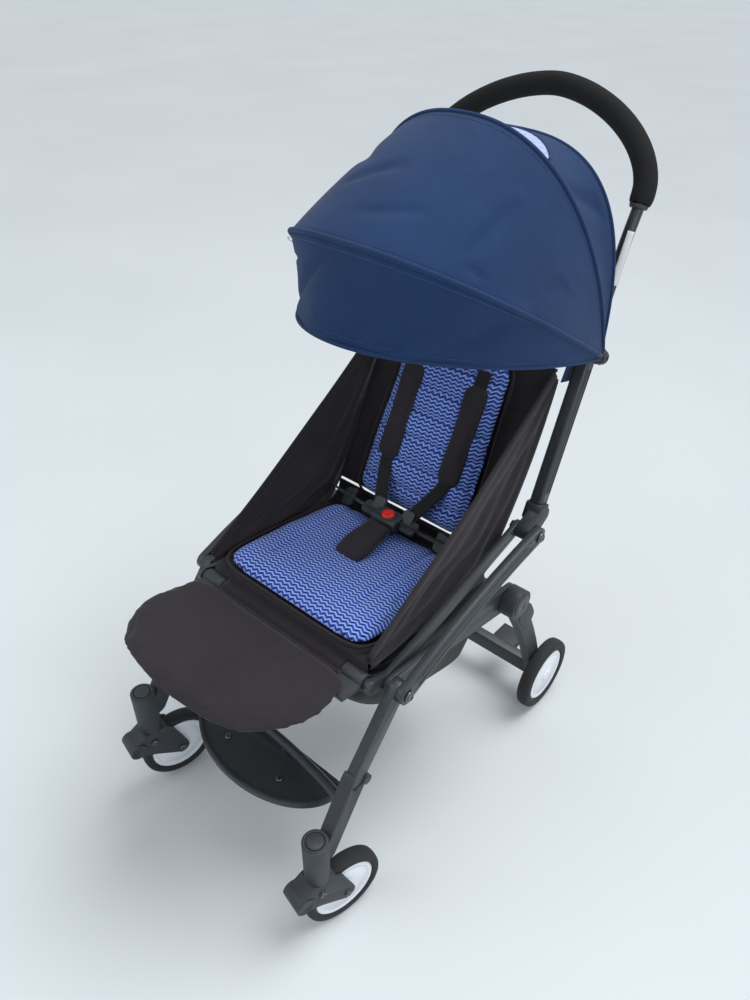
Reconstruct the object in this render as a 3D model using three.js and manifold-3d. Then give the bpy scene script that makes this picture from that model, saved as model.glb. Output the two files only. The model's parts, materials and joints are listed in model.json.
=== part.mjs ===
// Compact cabin stroller, built as separate named pieces.
// Millimetres, +Z up. The child looks along -Y, +X is the child's left hand, the wheels stand on z = 0.
import * as THREE from 'three';
import { mergeVertices } from 'three/addons/utils/BufferGeometryUtils.js';
import Module from 'manifold-3d';

const wasm = await Module();
wasm.setup();

// ---------------------------------------------------------------- driving dimensions

const GAP = 0.4;                                  // clear space left between neighbours
const WELD = 0.01;                                // points closer than this become one after a join or cut

// side view pivots, as [y, z]
const FRONT_JOINT = [-172, 389];                  // front leg, hub bar, seat rail and side arm
const REAR_JOINT = [150, 472];                    // handle elbow, seat rail and side arm
const HUB = [128, 339];                           // rear leg on the hub bar
const REAR_AXLE = [252, 72];
const SEAT_FRONT = [-202, 402];                   // front tube of the seat, hinge of the leg rest

// layers across the width, from the inside out, as [inner, outer]
const RAIL_LAYER = [172, 180.2];
const HUB_BAR_LAYER = [180.8, 188.8];
const ELBOW_LAYER = [181, 205];
const LEG_LAYER = [189.4, 205.4];
const ARM_LAYER = [206, 218];
const BOLT_RADIUS = 4.8;
const BOLT_HOLE = 5.3;

// handle
const HANDLE_X = 187;
const HANDLE_LEAN = Math.atan2(163, 442);         // back from upright
const COLLAR = [185, 498];                        // where the lower tube leaves its elbow
const LOWER_TUBE_LENGTH = 228;
const LOWER_TUBE_START = 8;
const TUBE_BORE = 9.3;
const UPPER_TUBE_RADIUS = 8.5;
const UPPER_TUBE_START = 150;
const ARCH_SHOULDER = 473;                        // where the upper tube starts to curve
const ARCH_TOP = 599;
const ARCH_SQUARENESS = 1.15;
const ARCH_BEND = 0.15;                           // backward run per length, from BEND_START up
const BEND_START = 430;
const FOAM_START = 464;
const FOAM_RADIUS = 16.5;

// canopy
const CANOPY_HUB = 250;                           // along the handle, from the collar
const BOW_THICKNESS = 2.8;
const BOW_EYE_THICKNESS = 3.2;
const BOW_WIDTH = 9;
const BOW_EYE = 12;
const PIVOT_RADIUS = 4.6;
const CLOTH = 2;
const BOWS = {
  rear: { angle: 93, layer: 199.8, length: 278, roundness: 0.68 },
  mid: { angle: 73.5, layer: 203.4, length: 322, roundness: 0.86 },
  front: { angle: 32, layer: 207, length: 384, roundness: 0.8 },
};
const VISOR_HEM = { angle: 13.5, length: 361, roundness: 1 };

// front legs and casters
const FRONT_LEG_WIDTH = 28;
const SLEEVE_TOP = [-262, 279];
const SLEEVE_FOOT = [-326, 180];
const CROSSBAR = { radius: 8, middle: [-246, 198], bend: [-268, 222], end: [-280, 236] };
const CASTER = [198, -344];                       // swivel axis, as [x, y]
const CASTER_TURN = THREE.MathUtils.degToRad(-12);
const HOUSING = { radius: 19.5, foot: 137, top: 222 };
const TRAIL = 40;
const FRONT_WHEEL = { radius: 66, disc: 52, width: 26 };
const WHEEL_HUB = { flat: 16, dish: 22, bore: 5.5 };
const FORK = { boss: 17, bossFoot: 123, stem: 7, stemFoot: 128, stemTop: 176, cheek: 5, pin: 5, bolt: 6.5, screw: [-4, 114] };
const BARREL = { radius: 15, at: [-33, 110] };

// rear legs
const LEG_COLLAR = { top: [168, 286], foot: [181, 264] };
const COLLAR_PROUD = 1.6;
const REAR_WHEEL_X = 219;
const REAR_WHEEL = { radius: 72, disc: 53, width: 24 };

// seat
const SEAT_HALF = 165;
const BACK_FOOT = [96, 434];
const BACK_HEAD = [236, 716];
const BUCKLE = { width: 34, height: 22, at: [44, 457], half: 24 };
const BUTTON_Y = 42;
const BUTTON = { radius: 11, foot: 462.4, top: 471, travel: 3 };

// ---------------------------------------------------------------- materials

function material(color, roughness, metalness = 0) {
  return new THREE.MeshStandardMaterial({ color, roughness, metalness });
}

const FRAME_PAINT = material('#24282b', 0.5, 0.6);
const DARK_PLASTIC = material('#2b2f33', 0.55);
const STEEL = material('#8d9196', 0.35, 1);
const TYRE = material('#232527', 0.85);
const WHITE_PLASTIC = material('#e9edf2', 0.45);
const FOAM = material('#1a1a1c', 0.95);
const BLUE_CLOTH = material('#274a80', 0.9);
const BLACK_CLOTH = material('#26232a', 0.92);
const PRINTED_CLOTH = material('#5a78d8', 0.9);
const RED_PLASTIC = material('#e0301e', 0.4);

// ---------------------------------------------------------------- shape helpers

function toManifold(geometry) {
  const bare = geometry.clone();
  bare.deleteAttribute('normal');
  bare.deleteAttribute('uv');
  const merged = mergeVertices(bare, 1e-4);
  const mesh = new wasm.Mesh({
    numProp: 3,
    vertProperties: new Float32Array(merged.attributes.position.array),
    triVerts: new Uint32Array(merged.index.array),
  });
  return new wasm.Manifold(mesh);
}

function fromManifold(solid) {
  const mesh = solid.simplify(WELD).getMesh();
  const geometry = new THREE.BufferGeometry();
  geometry.setAttribute('position', new THREE.BufferAttribute(new Float32Array(mesh.vertProperties), 3));
  geometry.setIndex(new THREE.BufferAttribute(new Uint32Array(mesh.triVerts), 1));
  geometry.computeVertexNormals();
  return geometry;
}

function unite(...geometries) {
  return fromManifold(geometries.map(toManifold).reduce((sum, solid) => sum.add(solid)));
}

function cut(body, ...tools) {
  return fromManifold(tools.map(toManifold).reduce((rest, tool) => rest.subtract(tool), toManifold(body)));
}

// An outline drawn in (y, z), extruded across the stroller from x = from to x = to.
function acrossPrism(shape, from, to, curveSegments = 6) {
  const geometry = new THREE.ExtrudeGeometry(shape, { depth: to - from, bevelEnabled: false, curveSegments });
  const swap = new THREE.Matrix4().set(0, 0, 1, from, 1, 0, 0, 0, 0, 1, 0, 0, 0, 0, 0, 1);
  return geometry.applyMatrix4(swap);
}

function sidePrism(shape, [inner, outer], side, curveSegments = 6) {
  return side > 0
    ? acrossPrism(shape, inner, outer, curveSegments)
    : acrossPrism(shape, -outer, -inner, curveSegments);
}

function cylinderX(radius, from, to, [y, z], segments = 18) {
  const geometry = new THREE.CylinderGeometry(radius, radius, to - from, segments);
  return geometry.rotateZ(-Math.PI / 2).translate((from + to) / 2, y, z);
}

function sideCylinder(radius, [inner, outer], side, at, segments = 16) {
  return side > 0 ? cylinderX(radius, inner, outer, at, segments) : cylinderX(radius, -outer, -inner, at, segments);
}

function cylinderZ(radius, from, to, x, y, segments = 20, topRadius = radius) {
  const geometry = new THREE.CylinderGeometry(topRadius, radius, to - from, segments);
  return geometry.rotateX(Math.PI / 2).translate(x, y, (from + to) / 2);
}

function box(width, depth, height, x, y, z) {
  return new THREE.BoxGeometry(width, depth, height).translate(x, y, z);
}

// A flat bar between two eyes in the side view, with a hole in each eye that has one.
function linkShape(start, startRadius, end, endRadius, bow = 0) {
  const a = new THREE.Vector2(...start);
  const b = new THREE.Vector2(...end);
  const along = b.clone().sub(a).normalize();
  const across = new THREE.Vector2(-along.y, along.x);
  const angle = Math.atan2(along.y, along.x);
  const middle = a.clone().add(b).multiplyScalar(0.5);
  const halfWidth = (startRadius + endRadius) / 2;
  const top = middle.clone().addScaledVector(across, halfWidth + 2 * bow);
  const bottom = middle.clone().addScaledVector(across, 2 * bow - halfWidth);
  const firstTop = a.clone().addScaledVector(across, startRadius);
  const lastBottom = b.clone().addScaledVector(across, -endRadius);
  const shape = new THREE.Shape();
  shape.moveTo(firstTop.x, firstTop.y);
  shape.absarc(a.x, a.y, startRadius, angle + Math.PI / 2, angle + Math.PI * 1.5, false);
  shape.quadraticCurveTo(bottom.x, bottom.y, lastBottom.x, lastBottom.y);
  shape.absarc(b.x, b.y, endRadius, angle - Math.PI / 2, angle + Math.PI / 2, false);
  shape.quadraticCurveTo(top.x, top.y, firstTop.x, firstTop.y);
  return shape;
}

function drill(shape, radius, ...centres) {
  for (const [y, z] of centres) {
    const hole = new THREE.Path();
    hole.absarc(y, z, radius, 0, 2 * Math.PI, true);
    shape.holes.push(hole);
  }
  return shape;
}

function roundedRect(width, height, radius, x = 0, y = 0) {
  const shape = new THREE.Shape();
  const right = x + width / 2;
  const top = y + height / 2;
  const left = x - width / 2;
  const bottom = y - height / 2;
  shape.moveTo(left + radius, bottom);
  shape.lineTo(right - radius, bottom);
  shape.absarc(right - radius, bottom + radius, radius, -Math.PI / 2, 0, false);
  shape.lineTo(right, top - radius);
  shape.absarc(right - radius, top - radius, radius, 0, Math.PI / 2, false);
  shape.lineTo(left + radius, top);
  shape.absarc(left + radius, top - radius, radius, Math.PI / 2, Math.PI, false);
  shape.lineTo(left, bottom + radius);
  shape.absarc(left + radius, bottom + radius, radius, Math.PI, Math.PI * 1.5, false);
  return shape;
}

function polygon(points) {
  return new THREE.Shape(points.map(([a, b]) => new THREE.Vector2(a, b)));
}

function circle(radius, segments) {
  const points = [];
  for (let i = 0; i < segments; i += 1) {
    const turn = (2 * Math.PI * (i + 0.5)) / segments;
    points.push([radius * Math.cos(turn), radius * Math.sin(turn)]);
  }
  return polygon(points);
}

function rod(points, radius, steps, segments = 10) {
  const path = new THREE.CatmullRomCurve3(points.map((p) => new THREE.Vector3(...p)), false, 'centripetal');
  return new THREE.ExtrudeGeometry(circle(radius, segments), { steps, extrudePath: path, bevelEnabled: false });
}

// A closed solid between two grids of points that share their row and column counts.
function solidBetween(outer, inner) {
  const rows = outer.length;
  const columns = outer[0].length;
  const positions = [...outer.flat(), ...inner.flat()].flatMap((p) => [p.x, p.y, p.z]);
  const at = (row, column, layer) => layer * rows * columns + row * columns + column;
  const index = [];
  const quad = (a, b, c, d) => index.push(a, b, c, a, c, d);
  for (let r = 0; r < rows - 1; r += 1) {
    for (let c = 0; c < columns - 1; c += 1) {
      quad(at(r, c, 0), at(r, c + 1, 0), at(r + 1, c + 1, 0), at(r + 1, c, 0));
      quad(at(r, c, 1), at(r + 1, c, 1), at(r + 1, c + 1, 1), at(r, c + 1, 1));
    }
  }
  for (let c = 0; c < columns - 1; c += 1) {
    quad(at(0, c, 0), at(0, c, 1), at(0, c + 1, 1), at(0, c + 1, 0));
    quad(at(rows - 1, c, 0), at(rows - 1, c + 1, 0), at(rows - 1, c + 1, 1), at(rows - 1, c, 1));
  }
  for (let r = 0; r < rows - 1; r += 1) {
    quad(at(r, 0, 0), at(r + 1, 0, 0), at(r + 1, 0, 1), at(r, 0, 1));
    quad(at(r, columns - 1, 0), at(r, columns - 1, 1), at(r + 1, columns - 1, 1), at(r + 1, columns - 1, 0));
  }
  const geometry = new THREE.BufferGeometry();
  geometry.setAttribute('position', new THREE.Float32BufferAttribute(positions, 3));
  geometry.setIndex(signedVolume(positions, index) > 0 ? index : index.reverse());
  geometry.computeVertexNormals();
  return geometry;
}

// Positive when the faces point outwards.
function signedVolume(positions, index) {
  const corner = (i) => new THREE.Vector3().fromArray(positions, 3 * index[i]);
  let volume = 0;
  for (let i = 0; i < index.length; i += 3) {
    volume += corner(i).dot(corner(i + 1).cross(corner(i + 2))) / 6;
  }
  return volume;
}

const stroller = new THREE.Group();

function add(name, geometry, look, parent = stroller) {
  const mesh = new THREE.Mesh(geometry, look);
  mesh.name = name;
  parent.add(mesh);
  return mesh;
}

const SIDES = [['left', 1], ['right', -1]];

// ---------------------------------------------------------------- chassis

function addSideFrame() {
  const seatFrame = [];
  for (const [hand, side] of SIDES) {
    const arm = drill(linkShape(FRONT_JOINT, 15, REAR_JOINT, 15, 11), BOLT_HOLE, FRONT_JOINT, REAR_JOINT);
    add(`side_arm_${hand}`, sidePrism(arm, ARM_LAYER, side), FRAME_PAINT);
    const rail = drill(linkShape(FRONT_JOINT, 13, REAR_JOINT, 11), BOLT_HOLE, FRONT_JOINT, REAR_JOINT);
    const nose = linkShape(FRONT_JOINT, 13, SEAT_FRONT, 12);
    const noseSolid = cut(sidePrism(nose, RAIL_LAYER, side), sideCylinder(BOLT_HOLE, [160, 200], side, FRONT_JOINT));
    seatFrame.push(sidePrism(rail, RAIL_LAYER, side), noseSolid);
    const bar = drill(linkShape(FRONT_JOINT, 12, HUB, 26), BOLT_HOLE, FRONT_JOINT);
    drill(bar, 9.5, HUB);
    add(`hub_bar_${hand}`, sidePrism(bar, HUB_BAR_LAYER, side), FRAME_PAINT);
    for (const [place, joint] of [['front', FRONT_JOINT], ['rear', REAR_JOINT]]) {
      const shank = sideCylinder(BOLT_RADIUS, [168, 219], side, joint, 12);
      const head = sideCylinder(9, [ARM_LAYER[1] + GAP, 221.5], side, joint);
      const nut = sideCylinder(8, [166, RAIL_LAYER[0] - GAP], side, joint, 6);
      add(`${place}_joint_bolt_${hand}`, unite(shank, head, nut), STEEL);
    }
  }
  const frontTube = cylinderX(8.8, -RAIL_LAYER[0] - 1, RAIL_LAYER[0] + 1, SEAT_FRONT, 16);
  add('seat_frame_tube', unite(frontTube, ...seatFrame), FRAME_PAINT);
  const tube = cylinderX(13, -HUB_BAR_LAYER[0] + GAP, HUB_BAR_LAYER[0] - GAP, HUB, 18);
  const spindle = cylinderX(9, -213, 213, HUB, 18);
  add('hub_cross_tube', unite(tube, spindle), FRAME_PAINT);
}

function addFoldRelease() {
  const rear = HUB[0] + 13 + GAP;
  const slot = polygon([[rear, HUB[1] - 16], [rear + 9, HUB[1] - 12], [rear + 9, HUB[1] + 12], [rear, HUB[1] + 16]]);
  add('fold_release_slider', acrossPrism(slot, -32, 32), RED_PLASTIC);
}

// ---------------------------------------------------------------- seat

function crownedPad(halfWidth, from, to, bottom, height, corner) {
  const outline = roundedRect(2 * halfWidth, to - from, corner, 0, (from + to) / 2);
  const geometry = new THREE.ExtrudeGeometry(outline, {
    depth: height - 8, bevelEnabled: true, bevelThickness: 4, bevelSize: 5, bevelOffset: -5,
    bevelSegments: 2, curveSegments: 5,
  });
  return geometry.translate(0, 0, bottom + 4);
}

function addSeat() {
  const slope = Math.atan2(20, 240);
  const cushion = crownedPad(158, -196, 68, 0, 22, 45).rotateX(-slope);
  add('seat_cushion', cushion.translate(0, 0, 414), PRINTED_CLOTH);

  const floor = polygon([[-190, 417], [66, 399], [66, 396], [-190, 414]]);
  const wing = polygon([[-190, 414], [72, 396], [130, 448], [232, 690], [222, 704], [-192, 440]]);
  const sheet = acrossPrism(floor, -SEAT_HALF, SEAT_HALF);
  const wings = SIDES.map(([, side]) => sidePrism(wing, [SEAT_HALF - 3, SEAT_HALF], side));
  add('seat_fabric', unite(sheet, ...wings), BLACK_CLOTH);

  const outer = polygon([[-150, 372], [-120, 250], [120, 232], [168, 250], [150, 322], [110, 322], [80, 372]]);
  const inner = polygon([[-147, 380], [-117, 253], [119, 235], [164, 252], [146, 330], [108, 330], [78, 380]]);
  const basket = cut(acrossPrism(outer, -160, 160), acrossPrism(inner, -157, 157));
  add('basket', basket, BLACK_CLOTH);
}

function addHarness() {
  const strap = polygon([[-50, 450], [-46, 443.5], [0, 448], [24, 451], [20, 459], [-6, 458]]);
  add('crotch_pad', acrossPrism(strap, -24, 24), BLACK_CLOTH);
  const shell = acrossPrism(roundedRect(BUCKLE.width, BUCKLE.height, 6, ...BUCKLE.at), -BUCKLE.half, BUCKLE.half, 4);
  const { radius, foot, top, travel } = BUTTON;
  const well = cylinderZ(radius + 0.6, foot - travel - GAP, top + 10, 0, BUTTON_Y, 20);
  add('harness_buckle', cut(shell, well), DARK_PLASTIC);
  add('buckle_button', cylinderZ(radius, foot, top, 0, BUTTON_Y, 20), RED_PLASTIC);
  for (const [hand, side] of SIDES) {
    const from = [side * (BUCKLE.half + 1.5), BUCKLE.at[0] + 2, BUCKLE.at[1]];
    const to = [side * 150, 76, 432];
    const belt = rod([from, [side * 88, 58, 448], to], 6, 8, 6);
    add(`waist_belt_${hand}`, belt, BLACK_CLOTH);
  }
}

// ---------------------------------------------------------------- handle, in its own leaning frame

const handle = new THREE.Group();
handle.position.set(0, COLLAR[0], COLLAR[1]);
handle.rotation.x = -HANDLE_LEAN;
stroller.add(handle);

function toHandle([y, z]) {
  const dy = y - COLLAR[0];
  const dz = z - COLLAR[1];
  const sin = Math.sin(HANDLE_LEAN);
  const cos = Math.cos(HANDLE_LEAN);
  return [dy * cos - dz * sin, dy * sin + dz * cos];
}

function addLowerHandle() {
  const pivot = toHandle(REAR_JOINT);
  for (const [hand, side] of SIDES) {
    const x = side * HANDLE_X;
    const arm = drill(linkShape(pivot, 15, [0, -9], 13), BOLT_HOLE, pivot);
    const socket = acrossPrism(roundedRect(30, 30, 5, 0, -8), x - 13, x + 13, 3);
    const bend = cut(sidePrism(arm, ELBOW_LAYER, side), sideCylinder(BOLT_HOLE, [160, 210], side, pivot));
    const clear = sideCylinder(18, [160, ELBOW_LAYER[0]], side, pivot, 24);
    const elbow = cut(unite(bend, socket), clear);
    add(`handle_elbow_${hand}`, elbow, DARK_PLASTIC, handle);

    const section = roundedRect(22, 26, 6);
    drill(section, TUBE_BORE, [0, 0]);
    const tube = new THREE.ExtrudeGeometry(section, {
      depth: LOWER_TUBE_LENGTH, bevelEnabled: false, curveSegments: 8,
    });
    tube.translate(x, 0, LOWER_TUBE_START);
    add(`handle_lower_tube_${hand}`, tube, FRAME_PAINT, handle);

    add(`canopy_clip_${hand}`, canopyClip(x, side), DARK_PLASTIC, handle);
  }
}

function canopyClip(x, side) {
  const foot = LOWER_TUBE_START + LOWER_TUBE_LENGTH + GAP;
  const height = 2 * (CANOPY_HUB - foot);
  const block = box(24, 30, height, x, 0, CANOPY_HUB);
  const lobe = acrossPrism(roundedRect(24, 22, 8, 22, CANOPY_HUB - 4), x - 10, x + 10, 4);
  const stub = sideCylinder(PIVOT_RADIUS, [HANDLE_X + 4, 212], side, [0, CANOPY_HUB], 16);
  const head = sideCylinder(10, [BOWS.front.layer + BOW_EYE_THICKNESS + GAP, 214], side, [0, CANOPY_HUB]);
  const bore = cylinderZ(TUBE_BORE, CANOPY_HUB - 40, CANOPY_HUB + 40, x, 0, 16);
  return cut(unite(block, lobe, stub, head), bore);
}

function archPath() {
  const points = [];
  const rise = ARCH_TOP - ARCH_SHOULDER;
  const steps = 10;
  for (let i = 0; i <= steps; i += 1) {
    const turn = (Math.PI * i) / steps;
    const cos = Math.cos(turn);
    const reach = Math.sign(cos) * Math.abs(cos) ** ARCH_SQUARENESS;
    const height = ARCH_SHOULDER + rise * Math.max(Math.sin(turn), 0) ** ARCH_SQUARENESS;
    points.push([HANDLE_X * reach, ARCH_BEND * (height - BEND_START), height]);
  }
  return points;
}

function addUpperHandle() {
  const arch = archPath();
  const heights = [UPPER_TUBE_START, 240, 330, 420];
  const legs = heights.map((height) => [HANDLE_X, 0, height]);
  const farLegs = heights.map((height) => [-HANDLE_X, 0, height]).reverse();
  add('handle_arch_tube', rod([...legs, ...arch, ...farLegs], UPPER_TUBE_RADIUS, 40, 8), FRAME_PAINT, handle);
  const lean = ARCH_BEND * (FOAM_START - BEND_START);
  const sleevePoints = [[HANDLE_X, lean, FOAM_START], ...arch, [-HANDLE_X, lean, FOAM_START]];
  const sleeve = rod(sleevePoints, FOAM_RADIUS, 28, 10);
  const bore = rod([...legs, ...arch, ...farLegs], UPPER_TUBE_RADIUS + GAP, 40, 8);
  add('handle_foam_grip', cut(sleeve, bore), FOAM, handle);
}

// ---------------------------------------------------------------- backrest

function backFrame() {
  const group = new THREE.Group();
  group.position.set(0, BACK_FOOT[0], BACK_FOOT[1]);
  group.rotation.x = Math.PI / 2 - Math.atan2(BACK_HEAD[0] - BACK_FOOT[0], BACK_HEAD[1] - BACK_FOOT[1]);
  stroller.add(group);
  return group;
}

// In the back's own frame y runs up the backrest and z points forward, out of it.
function addBackrest() {
  const back = backFrame();
  const length = Math.hypot(BACK_HEAD[0] - BACK_FOOT[0], BACK_HEAD[1] - BACK_FOOT[1]);
  const cloth = box(2 * SEAT_HALF - 10, length - 4, 3, 0, length / 2 + 6, -3);
  add('back_fabric', cloth, BLACK_CLOTH, back);
  add('back_pad', crownedPad(118, 26, length - 16, 0.6, 20, 40), PRINTED_CLOTH, back);
  for (const [hand, side] of SIDES) {
    const pad = roundedRect(44, 170, 12, side * 62, 165);
    const geometry = new THREE.ExtrudeGeometry(pad, { depth: 10, bevelEnabled: false, curveSegments: 3 });
    add(`shoulder_pad_${hand}`, geometry.translate(0, 0, 21.2), BLACK_CLOTH, back);
  }
}

// ---------------------------------------------------------------- canopy

// A point of a bow's arch: turn runs from 0 at the child's left hinge to pi at the right one.
function archPoint({ angle, half, length, roundness }, turn, grow = 0) {
  const cos = Math.cos(turn);
  const x = (half + grow) * Math.sign(cos) * Math.abs(cos) ** roundness;
  const reach = (length + grow) * Math.max(Math.sin(turn), 0) ** roundness;
  const tilt = THREE.MathUtils.degToRad(angle);
  return new THREE.Vector3(x, -reach * Math.cos(tilt), reach * Math.sin(tilt));
}

// Turns spaced so that the arch's points lie evenly round its corners.
function archTurns(count, start, roundness) {
  const turns = [];
  for (let i = 0; i <= count; i += 1) {
    const even = start + ((Math.PI - 2 * start) * i) / count;
    const cos = Math.cos(even);
    const sin = Math.sin(even);
    turns.push(Math.atan2(Math.abs(sin) ** (0.9 / roundness), Math.sign(cos) * Math.abs(cos) ** (0.9 / roundness)));
  }
  return turns;
}

function bowArch(bow) {
  return { ...bow, half: bow.layer + BOW_EYE_THICKNESS / 2 };
}

// A bow lying forward along -Y; its mesh is then tilted up to the bow's angle.
function bowStrip(bow) {
  const flat = { ...bowArch(bow), angle: 0 };
  const planeNormal = new THREE.Vector3(0, 0, 1);
  const centre = archTurns(24, 0.001, bow.roundness).map((turn) => archPoint(flat, turn));
  const ring = (point, index) => {
    const before = centre[Math.max(index - 1, 0)];
    const after = centre[Math.min(index + 1, centre.length - 1)];
    const outward = planeNormal.clone().cross(after.clone().sub(before)).normalize();
    if (index === 0 || index === centre.length - 1) {
      outward.set(Math.sign(point.x), 0, 0);
    }
    return (thick, wide) => point.clone()
      .addScaledVector(outward, (thick * BOW_THICKNESS) / 2)
      .addScaledVector(planeNormal, (wide * BOW_WIDTH) / 2);
  };
  const rings = centre.map(ring);
  const outer = rings.map((corner) => [corner(1, -1), corner(1, 1)]);
  const inner = rings.map((corner) => [corner(-1, -1), corner(-1, 1)]);
  return solidBetween(outer, inner);
}

function addBows(canopy) {
  for (const [place, bow] of Object.entries(BOWS)) {
    const layer = [bow.layer, bow.layer + BOW_EYE_THICKNESS];
    const eyes = SIDES.map(([, side]) => sideCylinder(BOW_EYE, layer, side, [0, 0], 20));
    const holes = SIDES.map(([, side]) => sideCylinder(PIVOT_RADIUS + 0.6, [190, 220], side, [0, 0], 16));
    const solid = cut(unite(bowStrip(bow), ...eyes), ...holes);
    const mesh = add(`canopy_${place}_bow`, solid, DARK_PLASTIC, canopy);
    mesh.rotation.x = -THREE.MathUtils.degToRad(bow.angle);
  }
}

// Cloth between two arches, outside both of them.
function clothBetween(first, second, start, rows, columns) {
  const clear = BOW_THICKNESS / 2 + 2.4;
  const layer = (grow) => {
    const grid = [];
    for (let r = 0; r <= rows; r += 1) {
      const share = r / rows;
      const mix = {};
      for (const key of ['angle', 'half', 'length', 'roundness']) {
        mix[key] = THREE.MathUtils.lerp(first[key], second[key], share);
      }
      grid.push(archTurns(columns, start, mix.roundness).map((turn) => archPoint(mix, turn, grow)));
    }
    return grid;
  };
  return solidBetween(layer(clear + CLOTH), layer(clear));
}

function addCanopyCloth(canopy) {
  const rear = bowArch(BOWS.rear);
  const mid = bowArch(BOWS.mid);
  const front = bowArch(BOWS.front);
  const hem = { ...VISOR_HEM, half: front.half };
  const start = 0.09;
  const midSeam = { ...mid, angle: mid.angle + 0.4, half: mid.half + 0.5 };
  add('canopy_rear_panel', clothBetween({ ...rear, half: mid.half }, midSeam, start, 3, 20), BLUE_CLOTH, canopy);
  const frontEdge = { ...mid, angle: mid.angle - 0.4, half: front.half };
  add('canopy_front_panel', clothBetween(frontEdge, front, start, 5, 20), BLUE_CLOTH, canopy);
  const visorEdge = { ...front, angle: front.angle - 0.6 };
  add('canopy_visor', clothBetween(visorEdge, hem, start, 2, 20), BLUE_CLOTH, canopy);
}

function addCanopy() {
  const canopy = new THREE.Group();
  canopy.position.set(0, COLLAR[0] + CANOPY_HUB * Math.sin(HANDLE_LEAN), COLLAR[1] + CANOPY_HUB * Math.cos(HANDLE_LEAN));
  stroller.add(canopy);
  addBows(canopy);
  addCanopyCloth(canopy);
}

// ---------------------------------------------------------------- front legs, footplate, casters

function addFrontLegs() {
  for (const [hand, side] of SIDES) {
    const leg = drill(linkShape(FRONT_JOINT, 15, SLEEVE_TOP, FRONT_LEG_WIDTH / 2), BOLT_HOLE, FRONT_JOINT);
    const legSolid = sidePrism(leg, LEG_LAYER, side);
    const sleeve = linkShape(SLEEVE_TOP, 17, SLEEVE_FOOT, 15);
    const sleeveLayer = [LEG_LAYER[0] - 2.5, LEG_LAYER[1] + 2.5];
    const topCut = sidePrism(linkShape(FRONT_JOINT, 20, SLEEVE_TOP, FRONT_LEG_WIDTH / 2 + GAP), [180, 215], side);
    add(`front_leg_${hand}`, legSolid, FRAME_PAINT);

    const housing = cylinderZ(HOUSING.radius, HOUSING.foot, HOUSING.top, side * CASTER[0], CASTER[1], 22);
    const cap = cylinderZ(14, HOUSING.top - 1, HOUSING.top + 3, side * CASTER[0], CASTER[1], 20, 12.5);
    const stemHole = cylinderZ(FORK.stem + 0.6, HOUSING.foot - 5, FORK.stemTop + 4, side * CASTER[0], CASTER[1], 16);
    const knob = sideCylinder(8, sleeveLayer, side, [SLEEVE_TOP[0] + 18, SLEEVE_TOP[1] - 14], 12);
    const shell = unite(sidePrism(sleeve, sleeveLayer, side), housing, cap, knob);
    add(`caster_housing_${hand}`, cut(shell, stemHole, topCut), DARK_PLASTIC);
  }
  const barEnd = LEG_LAYER[0] - 2.5 - GAP;
  const halfBar = [[0, ...CROSSBAR.middle], [150, ...CROSSBAR.bend], [barEnd + 2, ...CROSSBAR.end]];
  const farHalf = halfBar.slice(1).reverse().map(([x, y, z]) => [-x, y, z]);
  const bar = rod([...farHalf, ...halfBar], CROSSBAR.radius, 20, 10);
  const trims = SIDES.map(([, side]) => box(20, 80, 80, side * (barEnd + 10), ...CROSSBAR.end));
  add('front_crossbar', cut(bar, ...trims), FRAME_PAINT);
}

function addFootplate() {
  const half = 148;
  const depth = 90;
  const back = -244;
  const outline = new THREE.Shape();
  outline.moveTo(-half, back);
  outline.absellipse(0, back, half, depth, Math.PI, 2 * Math.PI, false, 0);
  outline.lineTo(half, back + 14);
  outline.lineTo(-half, back + 14);
  const recess = new THREE.Shape();
  recess.moveTo(-half + 5, back);
  recess.absellipse(0, back, half - 5, depth - 5, Math.PI, 2 * Math.PI, false, 0);
  recess.lineTo(half - 5, back + 9);
  recess.lineTo(-half + 5, back + 9);
  const plate = new THREE.ExtrudeGeometry(outline, { depth: 12, bevelEnabled: false, curveSegments: 20 });
  const hollow = new THREE.ExtrudeGeometry(recess, { depth: 12, bevelEnabled: false, curveSegments: 20 });
  const posts = [-34, 34].map((x) => cylinderZ(7, 168, 187.4, x, -246, 12));
  add('footplate', unite(cut(plate.translate(0, 0, 164), hollow.translate(0, 0, 169)), ...posts), DARK_PLASTIC);
}

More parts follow.
